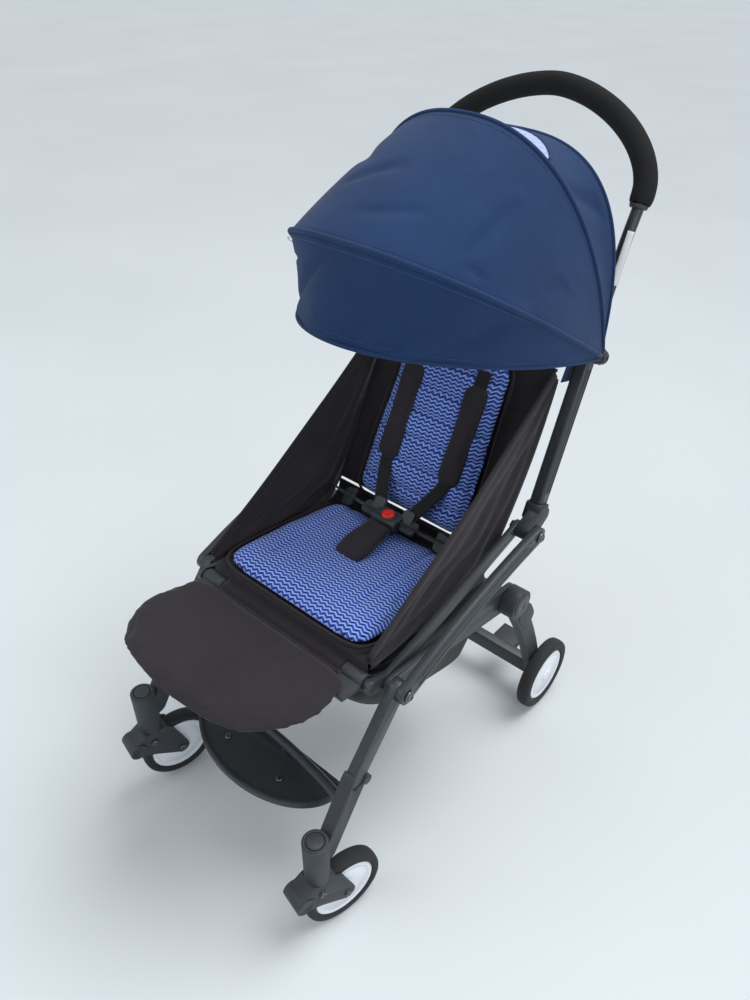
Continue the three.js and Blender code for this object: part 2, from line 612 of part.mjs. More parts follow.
function casterFork() {
  const boss = cylinderZ(FORK.boss, FORK.bossFoot, HOUSING.foot - 0.6, 0, 0, 20);
  const stem = cylinderZ(FORK.stem, FORK.stemFoot, FORK.stemTop, 0, 0, 16);
  const axle = [TRAIL, FRONT_WHEEL.radius];
  const barrel = BARREL.at;
  const cheek = new THREE.Shape();
  cheek.moveTo(barrel[0] - BARREL.radius, barrel[1]);
  cheek.absarc(barrel[0], barrel[1], BARREL.radius, Math.PI, Math.PI * 1.5, false);
  cheek.lineTo(-6, 82);
  cheek.lineTo(axle[0] - 2, axle[1] - 14);
  cheek.absarc(axle[0], axle[1], 14, -Math.PI / 2, 0.2, false);
  cheek.lineTo(32, 126);
  cheek.lineTo(17, 136);
  cheek.lineTo(-17, 136);
  cheek.lineTo(barrel[0], barrel[1] + BARREL.radius);
  cheek.absarc(barrel[0], barrel[1], BARREL.radius, Math.PI / 2, Math.PI, false);
  const half = FRONT_WHEEL.width / 2;
  const block = acrossPrism(cheek, -half - FORK.cheek, half + FORK.cheek, 5);
  const room = cylinderX(FRONT_WHEEL.radius + 2.5, -half - 1, half + 1, axle, 28);
  const pin = cylinderX(FORK.pin, -half - 4, half + 4, axle, 14);
  const bolts = [axle, FORK.screw].map((at) => cylinderX(FORK.bolt, -half - FORK.cheek - 2, half + FORK.cheek + 2, at, 12));
  const clearPin = cylinderX(FORK.pin + 2, -half - 0.9, half + 0.9, axle, 14);
  const shell = cut(unite(block, boss, ...bolts), room);
  return unite(cut(shell, clearPin), stem, pin);
}

function tyre({ radius, disc, width }) {
  const half = width / 2;
  const profile = [
    [disc, -half + 2], [disc + 4, -half], [radius - 5, -half + 1.5], [radius, -half * 0.4],
    [radius, half * 0.4], [radius - 5, half - 1.5], [disc + 4, half], [disc, half - 2], [disc, -half + 2],
  ];
  const points = profile.map(([r, y]) => new THREE.Vector2(r, y));
  return new THREE.LatheGeometry(points, 28).rotateZ(-Math.PI / 2);
}

function wheelDisc({ disc, width }, bore) {
  const half = width / 2 - 1;
  const rim = disc - GAP;
  const profile = [
    [bore, -half], [WHEEL_HUB.flat, -half], [WHEEL_HUB.dish, -half + 2], [rim, -half + 1.5],
    [rim, half - 1.5], [WHEEL_HUB.dish, half - 2], [WHEEL_HUB.flat, half], [bore, half], [bore, -half],
  ];
  const points = profile.map(([r, y]) => new THREE.Vector2(r, y));
  return new THREE.LatheGeometry(points, 28).rotateZ(-Math.PI / 2);
}

function addCasters() {
  for (const [hand, side] of SIDES) {
    const caster = new THREE.Group();
    caster.position.set(side * CASTER[0], CASTER[1], 0);
    caster.rotation.z = CASTER_TURN;
    stroller.add(caster);
    add(`caster_fork_${hand}`, casterFork(), DARK_PLASTIC, caster);
    const disc = wheelDisc(FRONT_WHEEL, WHEEL_HUB.bore).translate(0, TRAIL, FRONT_WHEEL.radius);
    const rubber = tyre(FRONT_WHEEL).translate(0, TRAIL, FRONT_WHEEL.radius);
    add(`front_wheel_disc_${hand}`, disc, WHITE_PLASTIC, caster);
    add(`front_tyre_${hand}`, rubber, TYRE, caster);
  }
}

// ---------------------------------------------------------------- rear legs and wheels

function addRearLegs() {
  for (const [hand, side] of SIDES) {
    const leg = drill(linkShape(HUB, 17, REAR_AXLE, 15, 9), 5.6, REAR_AXLE);
    const bar = sidePrism(leg, LEG_LAYER, side);
    const head = sideCylinder(27, [LEG_LAYER[0], 216.5], side, HUB, 26);
    const collarLayer = [LEG_LAYER[0], LEG_LAYER[1] + COLLAR_PROUD];
    const collar = sidePrism(linkShape(LEG_COLLAR.top, 19, LEG_COLLAR.foot, 18), collarLayer, side, 5);
    const bore = sideCylinder(9.4, [180, 213.4], side, HUB, 18);
    add(`rear_leg_${hand}`, cut(unite(bar, head, collar), bore), DARK_PLASTIC);

    const x = side * REAR_WHEEL_X;
    add(`rear_wheel_disc_${hand}`, wheelDisc(REAR_WHEEL, WHEEL_HUB.bore).translate(x, ...REAR_AXLE), WHITE_PLASTIC);
    add(`rear_tyre_${hand}`, tyre(REAR_WHEEL).translate(x, ...REAR_AXLE), TYRE);
  }
  const beamEnd = LEG_LAYER[0] - GAP;
  const beam = acrossPrism(roundedRect(26, 32, 8, ...REAR_AXLE), -beamEnd, beamEnd, 3);
  const spindle = cylinderX(5, -REAR_WHEEL_X - 13, REAR_WHEEL_X + 13, REAR_AXLE, 14);
  add('rear_axle_beam', unite(beam, spindle), FRAME_PAINT);
}

function addBrakePedal() {
  const y = REAR_AXLE[0] + 13 + GAP;
  const z = REAR_AXLE[1];
  const outline = [[0, -0.5], [3.2, -8], [10, -10], [44, 2], [44, 8], [10, 9], [0, 8]];
  const pedal = polygon(outline.map(([back, up]) => [y + back, z + up]));
  add('brake_pedal', acrossPrism(pedal, 96, 146), DARK_PLASTIC);
}

// ---------------------------------------------------------------- leg rest

function addLegRest() {
  const rise = THREE.MathUtils.degToRad(8);
  const group = new THREE.Group();
  group.position.set(0, ...SEAT_FRONT);
  group.rotation.x = -rise;
  stroller.add(group);
  const outline = new THREE.Shape();
  outline.moveTo(-150, -19);
  outline.lineTo(-176, -74);
  outline.quadraticCurveTo(-184, -120, -162, -156);
  outline.quadraticCurveTo(-144, -198, -98, -212);
  outline.quadraticCurveTo(0, -232, 98, -212);
  outline.quadraticCurveTo(144, -198, 162, -156);
  outline.quadraticCurveTo(184, -120, 176, -74);
  outline.lineTo(150, -19);
  const board = new THREE.ExtrudeGeometry(outline, {
    depth: 10, bevelEnabled: true, bevelThickness: 3, bevelSize: 4, bevelOffset: -4, bevelSegments: 1, curveSegments: 6,
  });
  board.translate(0, 0, 7);
  add('leg_rest_board', board, BLACK_CLOTH, group);
  for (const [hand, side] of SIDES) {
    const layer = [128, 166];
    const barrel = sideCylinder(13, layer, side, [0, 0], 16);
    const tab = acrossPrism(polygon([[-48, -3], [0, -5], [0, 3], [-48, 3]]), side * 147 - 19, side * 147 + 19);
    const bore = sideCylinder(9.3, [120, 170], side, [0, 0], 16);
    add(`leg_rest_hinge_${hand}`, cut(unite(barrel, tab), bore), DARK_PLASTIC, group);
  }
}

addSideFrame();
addFoldRelease();
addSeat();
addHarness();
addLowerHandle();
addUpperHandle();
addBackrest();
addCanopy();
addFrontLegs();
addFootplate();
addCasters();
addRearLegs();
addBrakePedal();
addLegRest();

export default stroller;
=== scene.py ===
"""Compact baby stroller: cloth, padding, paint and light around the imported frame. Metres, +Z up."""
import json
import math

import bmesh
import bpy
import numpy as np
from mathutils import Matrix, Vector
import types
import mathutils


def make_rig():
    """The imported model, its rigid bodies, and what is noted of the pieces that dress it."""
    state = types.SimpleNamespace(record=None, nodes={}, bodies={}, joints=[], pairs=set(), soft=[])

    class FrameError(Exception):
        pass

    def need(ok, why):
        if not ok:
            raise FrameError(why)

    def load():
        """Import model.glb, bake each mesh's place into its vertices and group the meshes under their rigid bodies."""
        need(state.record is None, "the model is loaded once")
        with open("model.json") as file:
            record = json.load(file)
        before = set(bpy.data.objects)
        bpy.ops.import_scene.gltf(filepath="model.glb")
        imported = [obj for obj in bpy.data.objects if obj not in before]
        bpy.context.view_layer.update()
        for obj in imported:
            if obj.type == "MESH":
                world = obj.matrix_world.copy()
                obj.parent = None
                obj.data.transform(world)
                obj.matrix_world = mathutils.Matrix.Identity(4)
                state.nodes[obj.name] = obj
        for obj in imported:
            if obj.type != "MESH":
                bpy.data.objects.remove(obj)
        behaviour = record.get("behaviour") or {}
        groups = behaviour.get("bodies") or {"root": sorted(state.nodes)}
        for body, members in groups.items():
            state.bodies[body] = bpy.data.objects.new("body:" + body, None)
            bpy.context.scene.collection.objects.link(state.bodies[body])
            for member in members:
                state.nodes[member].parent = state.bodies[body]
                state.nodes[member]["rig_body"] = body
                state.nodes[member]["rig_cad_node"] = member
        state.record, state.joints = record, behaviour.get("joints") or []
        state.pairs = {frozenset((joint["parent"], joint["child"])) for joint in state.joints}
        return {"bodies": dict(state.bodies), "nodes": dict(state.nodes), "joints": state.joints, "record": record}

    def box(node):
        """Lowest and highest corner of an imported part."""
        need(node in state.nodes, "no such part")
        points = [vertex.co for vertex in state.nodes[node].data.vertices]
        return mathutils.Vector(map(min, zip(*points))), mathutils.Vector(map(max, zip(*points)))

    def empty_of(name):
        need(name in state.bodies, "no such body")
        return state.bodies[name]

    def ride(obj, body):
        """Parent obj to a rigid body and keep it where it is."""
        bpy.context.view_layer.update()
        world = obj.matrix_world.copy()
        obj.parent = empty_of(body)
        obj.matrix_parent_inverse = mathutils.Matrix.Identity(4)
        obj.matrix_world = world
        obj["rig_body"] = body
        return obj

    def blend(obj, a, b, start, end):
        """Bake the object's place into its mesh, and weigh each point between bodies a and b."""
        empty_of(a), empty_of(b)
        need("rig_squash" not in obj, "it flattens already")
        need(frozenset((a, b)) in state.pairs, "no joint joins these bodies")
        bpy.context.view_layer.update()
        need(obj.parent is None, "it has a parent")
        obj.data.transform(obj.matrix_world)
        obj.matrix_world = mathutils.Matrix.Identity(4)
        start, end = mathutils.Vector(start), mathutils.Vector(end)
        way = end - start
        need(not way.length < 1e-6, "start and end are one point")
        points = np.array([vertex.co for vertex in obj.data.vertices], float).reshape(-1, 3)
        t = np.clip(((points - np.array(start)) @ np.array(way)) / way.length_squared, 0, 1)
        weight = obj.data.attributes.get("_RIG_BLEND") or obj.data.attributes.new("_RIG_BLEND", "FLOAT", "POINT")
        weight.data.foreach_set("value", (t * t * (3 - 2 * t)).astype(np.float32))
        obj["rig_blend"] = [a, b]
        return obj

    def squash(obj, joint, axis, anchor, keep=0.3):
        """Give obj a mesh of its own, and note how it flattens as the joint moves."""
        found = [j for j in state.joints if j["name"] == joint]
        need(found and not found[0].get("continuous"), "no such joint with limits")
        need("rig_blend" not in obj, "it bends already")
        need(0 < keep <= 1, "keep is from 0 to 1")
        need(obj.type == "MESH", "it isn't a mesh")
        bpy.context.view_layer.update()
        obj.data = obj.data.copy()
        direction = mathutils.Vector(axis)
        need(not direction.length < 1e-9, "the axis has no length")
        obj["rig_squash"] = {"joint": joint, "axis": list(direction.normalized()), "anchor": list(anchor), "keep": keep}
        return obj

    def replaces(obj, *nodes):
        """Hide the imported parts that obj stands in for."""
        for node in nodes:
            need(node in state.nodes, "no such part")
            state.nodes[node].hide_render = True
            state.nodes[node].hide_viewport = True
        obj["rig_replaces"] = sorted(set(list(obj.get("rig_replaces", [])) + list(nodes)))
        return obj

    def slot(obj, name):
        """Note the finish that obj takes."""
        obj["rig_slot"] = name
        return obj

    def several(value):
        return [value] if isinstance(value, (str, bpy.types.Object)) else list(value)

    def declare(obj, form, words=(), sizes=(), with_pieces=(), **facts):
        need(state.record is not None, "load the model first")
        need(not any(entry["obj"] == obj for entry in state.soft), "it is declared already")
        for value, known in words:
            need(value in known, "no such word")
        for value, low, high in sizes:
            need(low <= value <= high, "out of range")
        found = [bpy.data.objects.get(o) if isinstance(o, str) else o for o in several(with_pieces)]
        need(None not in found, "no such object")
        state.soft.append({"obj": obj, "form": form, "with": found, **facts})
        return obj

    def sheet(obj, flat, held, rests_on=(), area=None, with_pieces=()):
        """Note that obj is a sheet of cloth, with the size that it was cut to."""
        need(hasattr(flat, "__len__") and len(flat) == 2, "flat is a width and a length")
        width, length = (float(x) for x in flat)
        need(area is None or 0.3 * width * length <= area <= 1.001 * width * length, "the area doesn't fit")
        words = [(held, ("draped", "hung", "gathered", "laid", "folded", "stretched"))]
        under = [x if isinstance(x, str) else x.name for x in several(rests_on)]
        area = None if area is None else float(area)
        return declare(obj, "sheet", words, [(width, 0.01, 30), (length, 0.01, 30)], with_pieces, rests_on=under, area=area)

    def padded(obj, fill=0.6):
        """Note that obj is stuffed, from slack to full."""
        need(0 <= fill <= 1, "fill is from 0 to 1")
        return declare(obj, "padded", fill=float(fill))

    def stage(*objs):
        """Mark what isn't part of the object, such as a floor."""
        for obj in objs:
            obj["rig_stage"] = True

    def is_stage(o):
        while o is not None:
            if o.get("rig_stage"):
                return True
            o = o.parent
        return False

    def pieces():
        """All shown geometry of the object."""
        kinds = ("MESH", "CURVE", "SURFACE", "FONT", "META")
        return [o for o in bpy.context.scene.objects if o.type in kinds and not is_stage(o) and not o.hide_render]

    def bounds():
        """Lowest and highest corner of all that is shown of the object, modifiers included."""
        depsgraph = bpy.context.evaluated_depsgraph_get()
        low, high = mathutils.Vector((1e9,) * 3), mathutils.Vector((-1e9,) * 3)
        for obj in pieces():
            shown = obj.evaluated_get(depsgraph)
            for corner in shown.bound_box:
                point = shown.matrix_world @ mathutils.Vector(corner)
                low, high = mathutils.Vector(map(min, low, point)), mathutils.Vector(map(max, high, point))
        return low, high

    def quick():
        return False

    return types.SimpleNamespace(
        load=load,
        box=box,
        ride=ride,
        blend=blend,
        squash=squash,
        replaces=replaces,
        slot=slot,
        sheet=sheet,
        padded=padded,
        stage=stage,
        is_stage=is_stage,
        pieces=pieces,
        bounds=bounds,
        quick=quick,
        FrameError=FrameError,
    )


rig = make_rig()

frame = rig.load()
CAD_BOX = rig.bounds()
SCENE = bpy.context.scene
NODES = frame["nodes"]
JOINTS = {joint["name"]: joint for joint in frame["joints"]}
SIDES = (("left", 1), ("right", -1))

HUB = Vector(JOINTS["canopy_rear_turn"]["pos_m"])          # canopy hinge, on the middle plane
FOLD_PIVOT = Vector(JOINTS["frame_fold"]["pos_m"])
FRONT_PIVOT = Vector(JOINTS["front_legs_fold"]["pos_m"])
REST_PIVOT = Vector(JOINTS["leg_rest_tilt"]["pos_m"])
BACK_PIVOT = Vector(JOINTS["backrest_recline"]["pos_m"])
UP_HANDLE = -Vector(JOINTS["handle_slide"]["axis"]).normalized()
OFF_HANDLE = Vector((0, -UP_HANDLE.z, UP_HANDLE.y))        # square to the handle, towards the child

# The canopy's arches, seen from the hinge: angle above the forward level, and how square the corners are.
ARCHES = {
    "rear": dict(angle=93.0, half=0.2050, length=0.2805, roundness=0.68),
    "mid": dict(angle=73.5, half=0.2092, length=0.3255, roundness=0.86),
    "front": dict(angle=32.0, half=0.2125, length=0.3885, roundness=0.80),
    "hem": dict(angle=13.5, half=0.2125, length=0.3640, roundness=1.00),
}


# ---------------------------------------------------------------- mesh helpers

def link(name, mesh):
    obj = bpy.data.objects.new(name, mesh)
    SCENE.collection.objects.link(obj)
    return obj


def build(name, verts, faces, uvs=None, smooth=True):
    mesh = bpy.data.meshes.new(name)
    mesh.from_pydata([tuple(v) for v in verts], [], faces)
    mesh.update()
    if uvs is not None:
        layer = mesh.uv_layers.new(name="cloth")
        for loop in mesh.loops:
            layer.data[loop.index].uv = uvs[loop.vertex_index]
    if smooth:
        mesh.shade_smooth()
    face_outwards(mesh)
    return link(name, mesh)


def face_outwards(mesh):
    work = bmesh.new()
    work.from_mesh(mesh)
    bmesh.ops.recalc_face_normals(work, faces=work.faces)
    work.to_mesh(mesh)
    work.free()


def apply_modifiers(obj):
    graph = bpy.context.evaluated_depsgraph_get()
    mesh = bpy.data.meshes.new_from_object(obj.evaluated_get(graph))
    obj.modifiers.clear()
    obj.data = mesh
    return obj


def coords(mesh):
    out = np.empty(len(mesh.vertices) * 3, np.float32)
    mesh.vertices.foreach_get("co", out)
    return out.reshape(-1, 3).astype(float)


def set_coords(mesh, points):
    mesh.vertices.foreach_set("co", np.ascontiguousarray(points, np.float32).ravel())
    mesh.update()


def sheet_mesh(name, point, rows, columns, thickness):
    """A closed thin sheet. point(u, v) is its middle surface; its UVs are lengths along the cloth."""
    grid = np.array([[point(c / columns, r / rows) for c in range(columns + 1)] for r in range(rows + 1)])
    along = np.gradient(grid, axis=0)
    across = np.gradient(grid, axis=1)
    normal = np.cross(across, along)
    normal /= np.maximum(np.linalg.norm(normal, axis=2, keepdims=True), 1e-9)
    steps_u = np.linalg.norm(np.diff(grid[rows // 2], axis=0), axis=1)
    steps_v = np.linalg.norm(np.diff(grid[:, columns // 2], axis=0), axis=1)
    run_u = np.concatenate([[0], np.cumsum(steps_u)])
    run_v = np.concatenate([[0], np.cumsum(steps_v)])
    layers = [grid + normal * thickness / 2, grid - normal * thickness / 2]
    verts = np.concatenate([layer.reshape(-1, 3) for layer in layers])
    uvs = [(run_u[c], run_v[r]) for _ in layers for r in range(rows + 1) for c in range(columns + 1)]
    count = (rows + 1) * (columns + 1)

    def at(r, c, layer=0):
        return layer * count + r * (columns + 1) + c

    faces = []
    for r in range(rows):
        for c in range(columns):
            faces.append((at(r, c), at(r, c + 1), at(r + 1, c + 1), at(r + 1, c)))
            faces.append((at(r, c, 1), at(r + 1, c, 1), at(r + 1, c + 1, 1), at(r, c + 1, 1)))
    rim = [(0, c) for c in range(columns)] + [(r, columns) for r in range(rows)]
    rim += [(rows, c) for c in range(columns, 0, -1)] + [(r, 0) for r in range(rows, 0, -1)]
    for (r, c), (r2, c2) in zip(rim, rim[1:] + rim[:1]):
        faces.append((at(r, c), at(r, c, 1), at(r2, c2, 1), at(r2, c2)))
    return build(name, verts, faces, uvs)


def smooth_path(points, count, closed=False):
    """A Catmull-Rom curve through the points, cut into even steps."""
    pts = [np.array(p, float) for p in points]
    if closed:
        pts = [pts[-1], *pts, pts[0], pts[1]]
    else:
        pts = [2 * pts[0] - pts[1], *pts, 2 * pts[-1] - pts[-2]]
    dense = []
    for a, b, c, d in zip(pts, pts[1:], pts[2:], pts[3:]):
        for t in np.linspace(0, 1, 24, endpoint=False):
            dense.append(0.5 * (2 * b + (c - a) * t + (2 * a - 5 * b + 4 * c - d) * t ** 2
                                + (3 * b - a - 3 * c + d) * t ** 3))
    dense.append(pts[-2])
    dense = np.array(dense)
    run = np.concatenate([[0], np.cumsum(np.linalg.norm(np.diff(dense, axis=0), axis=1))])
    stops = np.linspace(0, run[-1], count, endpoint=not closed)
    return [Vector([np.interp(s, run, dense[:, k]) for k in range(3)]) for s in stops]


def sweep(name, path, profile, side=None, closed=False, scale=None):
    """profile is a closed outline of (across, out) points, swept along the path."""
    count = len(path)
    verts, uvs, run = [], [], 0.0
    frames = []
    previous = None
    for i, point in enumerate(path):
        ahead = path[(i + 1) % count] if closed else path[min(i + 1, count - 1)]
        behind = path[i - 1] if closed else path[max(i - 1, 0)]
        tangent = (ahead - behind).normalized()
        if side is not None:
            across = side(point) if callable(side) else Vector(side)
        elif previous is None:
            across = tangent.orthogonal()
        else:
            across = previous
        across = (across - tangent * across.dot(tangent)).normalized()
        previous = across
        frames.append((across, tangent.cross(across).normalized()))
    for i, point in enumerate(path):
        across, out = frames[i]
        factor = scale[i] if scale is not None else 1.0
        run += (point - path[i - 1]).length if i else 0.0
        for k, (a, b) in enumerate(profile):
            verts.append(point + (across * a + out * b) * factor)
            uvs.append((run, k / len(profile) * 0.05))
    size = len(profile)
    faces = []
    last = count if closed else count - 1
    for i in range(last):
        for k in range(size):
            j, m = (i + 1) % count, (k + 1) % size
            faces.append((i * size + k, i * size + m, j * size + m, j * size + k))
    if not closed:
        faces.append(tuple(range(size)))
        faces.append(tuple((count - 1) * size + k for k in reversed(range(size))))
    return build(name, verts, faces, uvs)


def ring(radius, sides=16):
    return [(radius * math.cos(2 * math.pi * k / sides), radius * math.sin(2 * math.pi * k / sides))
            for k in range(sides)]


def band(width, thickness):
    """A flat strap's section with rolled edges."""
    w, t = width / 2, thickness / 2
    half = [(-w, 0), (-w + t * 0.6, t), (-w * 0.5, t), (0, t), (w * 0.5, t), (w - t * 0.6, t), (w, 0)]
    return half + [(a, -b) for a, b in reversed(half[1:-1])]


def tube(name, points, radius, count, sides, side, scale=None):
    return sweep(name, smooth_path(points, count), ring(radius, sides), side, scale=scale)


def lathe(name, profile, centre, axis, segments=96):
    """profile is a closed outline of (radius, height along the axis)."""
    axis = Vector(axis).normalized()
    first = axis.orthogonal().normalized()
    second = axis.cross(first)
    verts, faces = [], []
    size = len(profile)
    for s in range(segments):
        turn = 2 * math.pi * s / segments
        arm = first * math.cos(turn) + second * math.sin(turn)
        verts += [Vector(centre) + arm * r + axis * h for r, h in profile]
    for s in range(segments):
        for k in range(size):
            t, m = (s + 1) % segments, (k + 1) % size
            faces.append((s * size + k, s * size + m, t * size + m, t * size + k))
    return build(name, verts, faces)


def bevel(obj, width, segments=2, angle=35):
    weld = obj.modifiers.new("weld", "WELD")
    weld.merge_threshold = 1e-5
    modifier = obj.modifiers.new("bevel", "BEVEL")
    modifier.width = width
    modifier.segments = segments
    modifier.limit_method = "ANGLE"
    modifier.angle_limit = math.radians(angle)
    modifier.harden_normals = True
    return obj


def prism(name, outline, origin, across, up, depth, edge=0.0006):
    """An outline in the plane of across and up, extruded by depth, with softened edges."""
    across, up = Vector(across).normalized(), Vector(up).normalized()
    out = across.cross(up)
    base = [Vector(origin) + across * a + up * b for a, b in outline]
    count = len(base)
    verts = base + [p + out * depth for p in base]
    faces = [tuple(range(count)), tuple(count + k for k in reversed(range(count)))]
    faces += [(k, (k + 1) % count, count + (k + 1) % count, count + k) for k in range(count)]
    return apply_modifiers(bevel(build(name, verts, faces), edge))


def rounded(width, height, radius, steps=5):
    points = []
    for sx, sy, start in ((1, 1, 0), (-1, 1, 90), (-1, -1, 180), (1, -1, 270)):
        for k in range(steps + 1):
            turn = math.radians(start + 90 * k / steps)
            points.append((sx * (width / 2 - radius) + radius * math.cos(turn),
                           sy * (height / 2 - radius) + radius * math.sin(turn)))
    return points


# ---------------------------------------------------------------- materials

def shader(name):
    material = bpy.data.materials.new(name)
    material.use_nodes = True
    tree = material.node_tree
    return material, tree, tree.nodes["Principled BSDF"]


def node(tree, kind, **values):
    made = tree.nodes.new(kind)
    for key, value in values.items():
        made.inputs[key].default_value = value
    return made


def math_node(tree, operation, first, second=None):
    made = tree.nodes.new("ShaderNodeMath")
    made.operation = operation
    for slot, value in enumerate((first, second)):
        if value is None:
            continue
        if isinstance(value, (int, float)):
            made.inputs[slot].default_value = value
        else:
            tree.links.new(value, made.inputs[slot])
    return made.outputs[0]


def mix_colour(tree, factor, first, second):
    mix = tree.nodes.new("ShaderNodeMix")
    mix.data_type = "RGBA"
    for socket, value in ((mix.inputs[0], factor), (mix.inputs[6], first), (mix.inputs[7], second)):
        if isinstance(value, (int, float)):
            socket.default_value = value
        elif isinstance(value, tuple):
            socket.default_value = (*value, 1)
        else:
            tree.links.new(value, socket)
    return mix.outputs[2]


def noise(tree, vector, scale, detail=3.0, roughness=0.5):
    made = node(tree, "ShaderNodeTexNoise", Scale=scale, Detail=detail, Roughness=roughness)
    tree.links.new(vector, made.inputs["Vector"])
    return made.outputs["Fac"]


def ramp(tree, value, low, high):
    made = tree.nodes.new("ShaderNodeMapRange")
    made.inputs["From Min"].default_value = low
    made.inputs["From Max"].default_value = high
    tree.links.new(value, made.inputs["Value"])
    return made.outputs["Result"]


def bump(tree, height, strength, distance, principled, before=None):
    made = node(tree, "ShaderNodeBump", Strength=strength, Distance=distance)
    tree.links.new(height, made.inputs["Height"])
    if before is not None:
        tree.links.new(before, made.inputs["Normal"])
    tree.links.new(made.outputs["Normal"], principled.inputs["Normal"])
    return made.outputs["Normal"]


def weave_height(tree, coordinates, pitch):
    """Over-and-under threads from two crossed sets of ridges."""
    split = tree.nodes.new("ShaderNodeSeparateXYZ")
    tree.links.new(coordinates, split.inputs[0])
    rate = 2 * math.pi / pitch
    warp = math_node(tree, "SINE", math_node(tree, "MULTIPLY", split.outputs[0], rate))
    weft = math_node(tree, "SINE", math_node(tree, "MULTIPLY", split.outputs[1], rate))
    return math_node(tree, "MULTIPLY", warp, weft)


def cloth(name, colour, pitch=0.0011, depth=0.5, fade=0.25, rough=0.85, sheen=0.25):
    """Woven cloth: threads, slubs, uneven dye and a little dust. The threads' colour follows their height: painted
    shade in the dips, painted highlight on top.
    """
    material, tree, principled = shader(name)
    place = tree.nodes.new("ShaderNodeTexCoord")
    threads = weave_height(tree, place.outputs["UV"], pitch)
    slubs = noise(tree, place.outputs["Object"], 900, 2)
    patches = noise(tree, place.outputs["Object"], 9, 4, 0.6)
    worn = noise(tree, place.outputs["Object"], 45, 3, 0.6)
    dark = tuple(c * (1 - fade) for c in colour)
    pale = tuple(min(1, c * (1 + fade) + 0.002) for c in colour)
    base = mix_colour(tree, ramp(tree, patches, 0.3, 0.7), dark, pale)
    # painted shade and highlight: the colour is darker in the weave's dips and lighter on the raised threads
    thread = mix_colour(tree, ramp(tree, threads, -1, 1), tuple(c * 0.85 for c in colour),
                        tuple(c * 1.12 for c in colour))
    both = mix_colour(tree, 0.5, base, thread)
    dusty = mix_colour(tree, math_node(tree, "MULTIPLY", ramp(tree, worn, 0.55, 0.8), 0.12), both,
                       tuple(c + 0.04 for c in colour))
    tree.links.new(dusty, principled.inputs["Base Color"])
    tree.links.new(math_node(tree, "ADD", math_node(tree, "MULTIPLY", worn, 0.12), rough - 0.06),
                   principled.inputs["Roughness"])
    principled.inputs["Sheen Weight"].default_value = sheen
    principled.inputs["Sheen Roughness"].default_value = 0.45
    principled.inputs["Specular IOR Level"].default_value = 0.25
    height = math_node(tree, "ADD", math_node(tree, "MULTIPLY", threads, 0.5), slubs)
    fine = bump(tree, height, depth, 0.0004, principled)
    bump(tree, noise(tree, place.outputs["Object"], 26, 3, 0.55), 0.35, 0.004, principled, fine)
    return material


def zigzag_print(name, rise=0.0036, period=0.0118, pitch=0.0066, light=(0.34, 0.50, 0.92),
                 middle=(0.045, 0.10, 0.50), deep=(0.006, 0.010, 0.085)):
    """Rows of zigzag: a pale line, a mid blue ground and a navy dash under each rising stroke."""
    material, tree, principled = shader(name)
    place = tree.nodes.new("ShaderNodeTexCoord")
    split = tree.nodes.new("ShaderNodeSeparateXYZ")
    tree.links.new(place.outputs["UV"], split.inputs[0])
    column = math_node(tree, "FRACT", math_node(tree, "MULTIPLY", split.outputs[0], 1 / period))
    fold = math_node(tree, "ABSOLUTE", math_node(tree, "SUBTRACT", column, 0.5))
    shift = math_node(tree, "MULTIPLY", fold, 2 * rise)
    wobble = math_node(tree, "MULTIPLY", noise(tree, place.outputs["UV"], 300, 2), 0.0006)
    lift = math_node(tree, "ADD", math_node(tree, "ADD", split.outputs[1], shift), wobble)
    row = math_node(tree, "FRACT", math_node(tree, "MULTIPLY", lift, 1 / pitch))

    def between(value, low, high, soft):
        up = ramp(tree, value, low - soft, low + soft)
        down = math_node(tree, "SUBTRACT", 1.0, ramp(tree, value, high - soft, high + soft))
        return math_node(tree, "MULTIPLY", up, down)

    line = between(row, 0.10, 0.44, 0.05)
    dash = math_node(tree, "MULTIPLY", between(row, 0.55, 0.95, 0.05), between(column, 0.06, 0.46, 0.03))
    thin = math_node(tree, "MULTIPLY", between(row, 0.80, 0.97, 0.04), between(column, 0.52, 0.98, 0.03))
    ground = mix_colour(tree, ramp(tree, noise(tree, place.outputs["Object"], 14, 3), 0.3, 0.7),
                        tuple(c * 0.85 for c in middle), middle)
    darker = mix_colour(tree, math_node(tree, "MAXIMUM", dash, math_node(tree, "MULTIPLY", thin, 0.85)),
                        ground, deep)
    colour = mix_colour(tree, math_node(tree, "MULTIPLY", line, 0.92), darker, light)
    tree.links.new(colour, principled.inputs["Base Color"])
    principled.inputs["Roughness"].default_value = 0.85
    principled.inputs["Sheen Weight"].default_value = 0.15
    principled.inputs["Specular IOR Level"].default_value = 0.25
    threads = weave_height(tree, place.outputs["UV"], 0.0009)
    fine = bump(tree, math_node(tree, "ADD", threads, math_node(tree, "MULTIPLY", line, 1.2)), 0.4, 0.0003,
                principled)
    bump(tree, noise(tree, place.outputs["Object"], 30, 3), 0.3, 0.004, principled, fine)
    return material


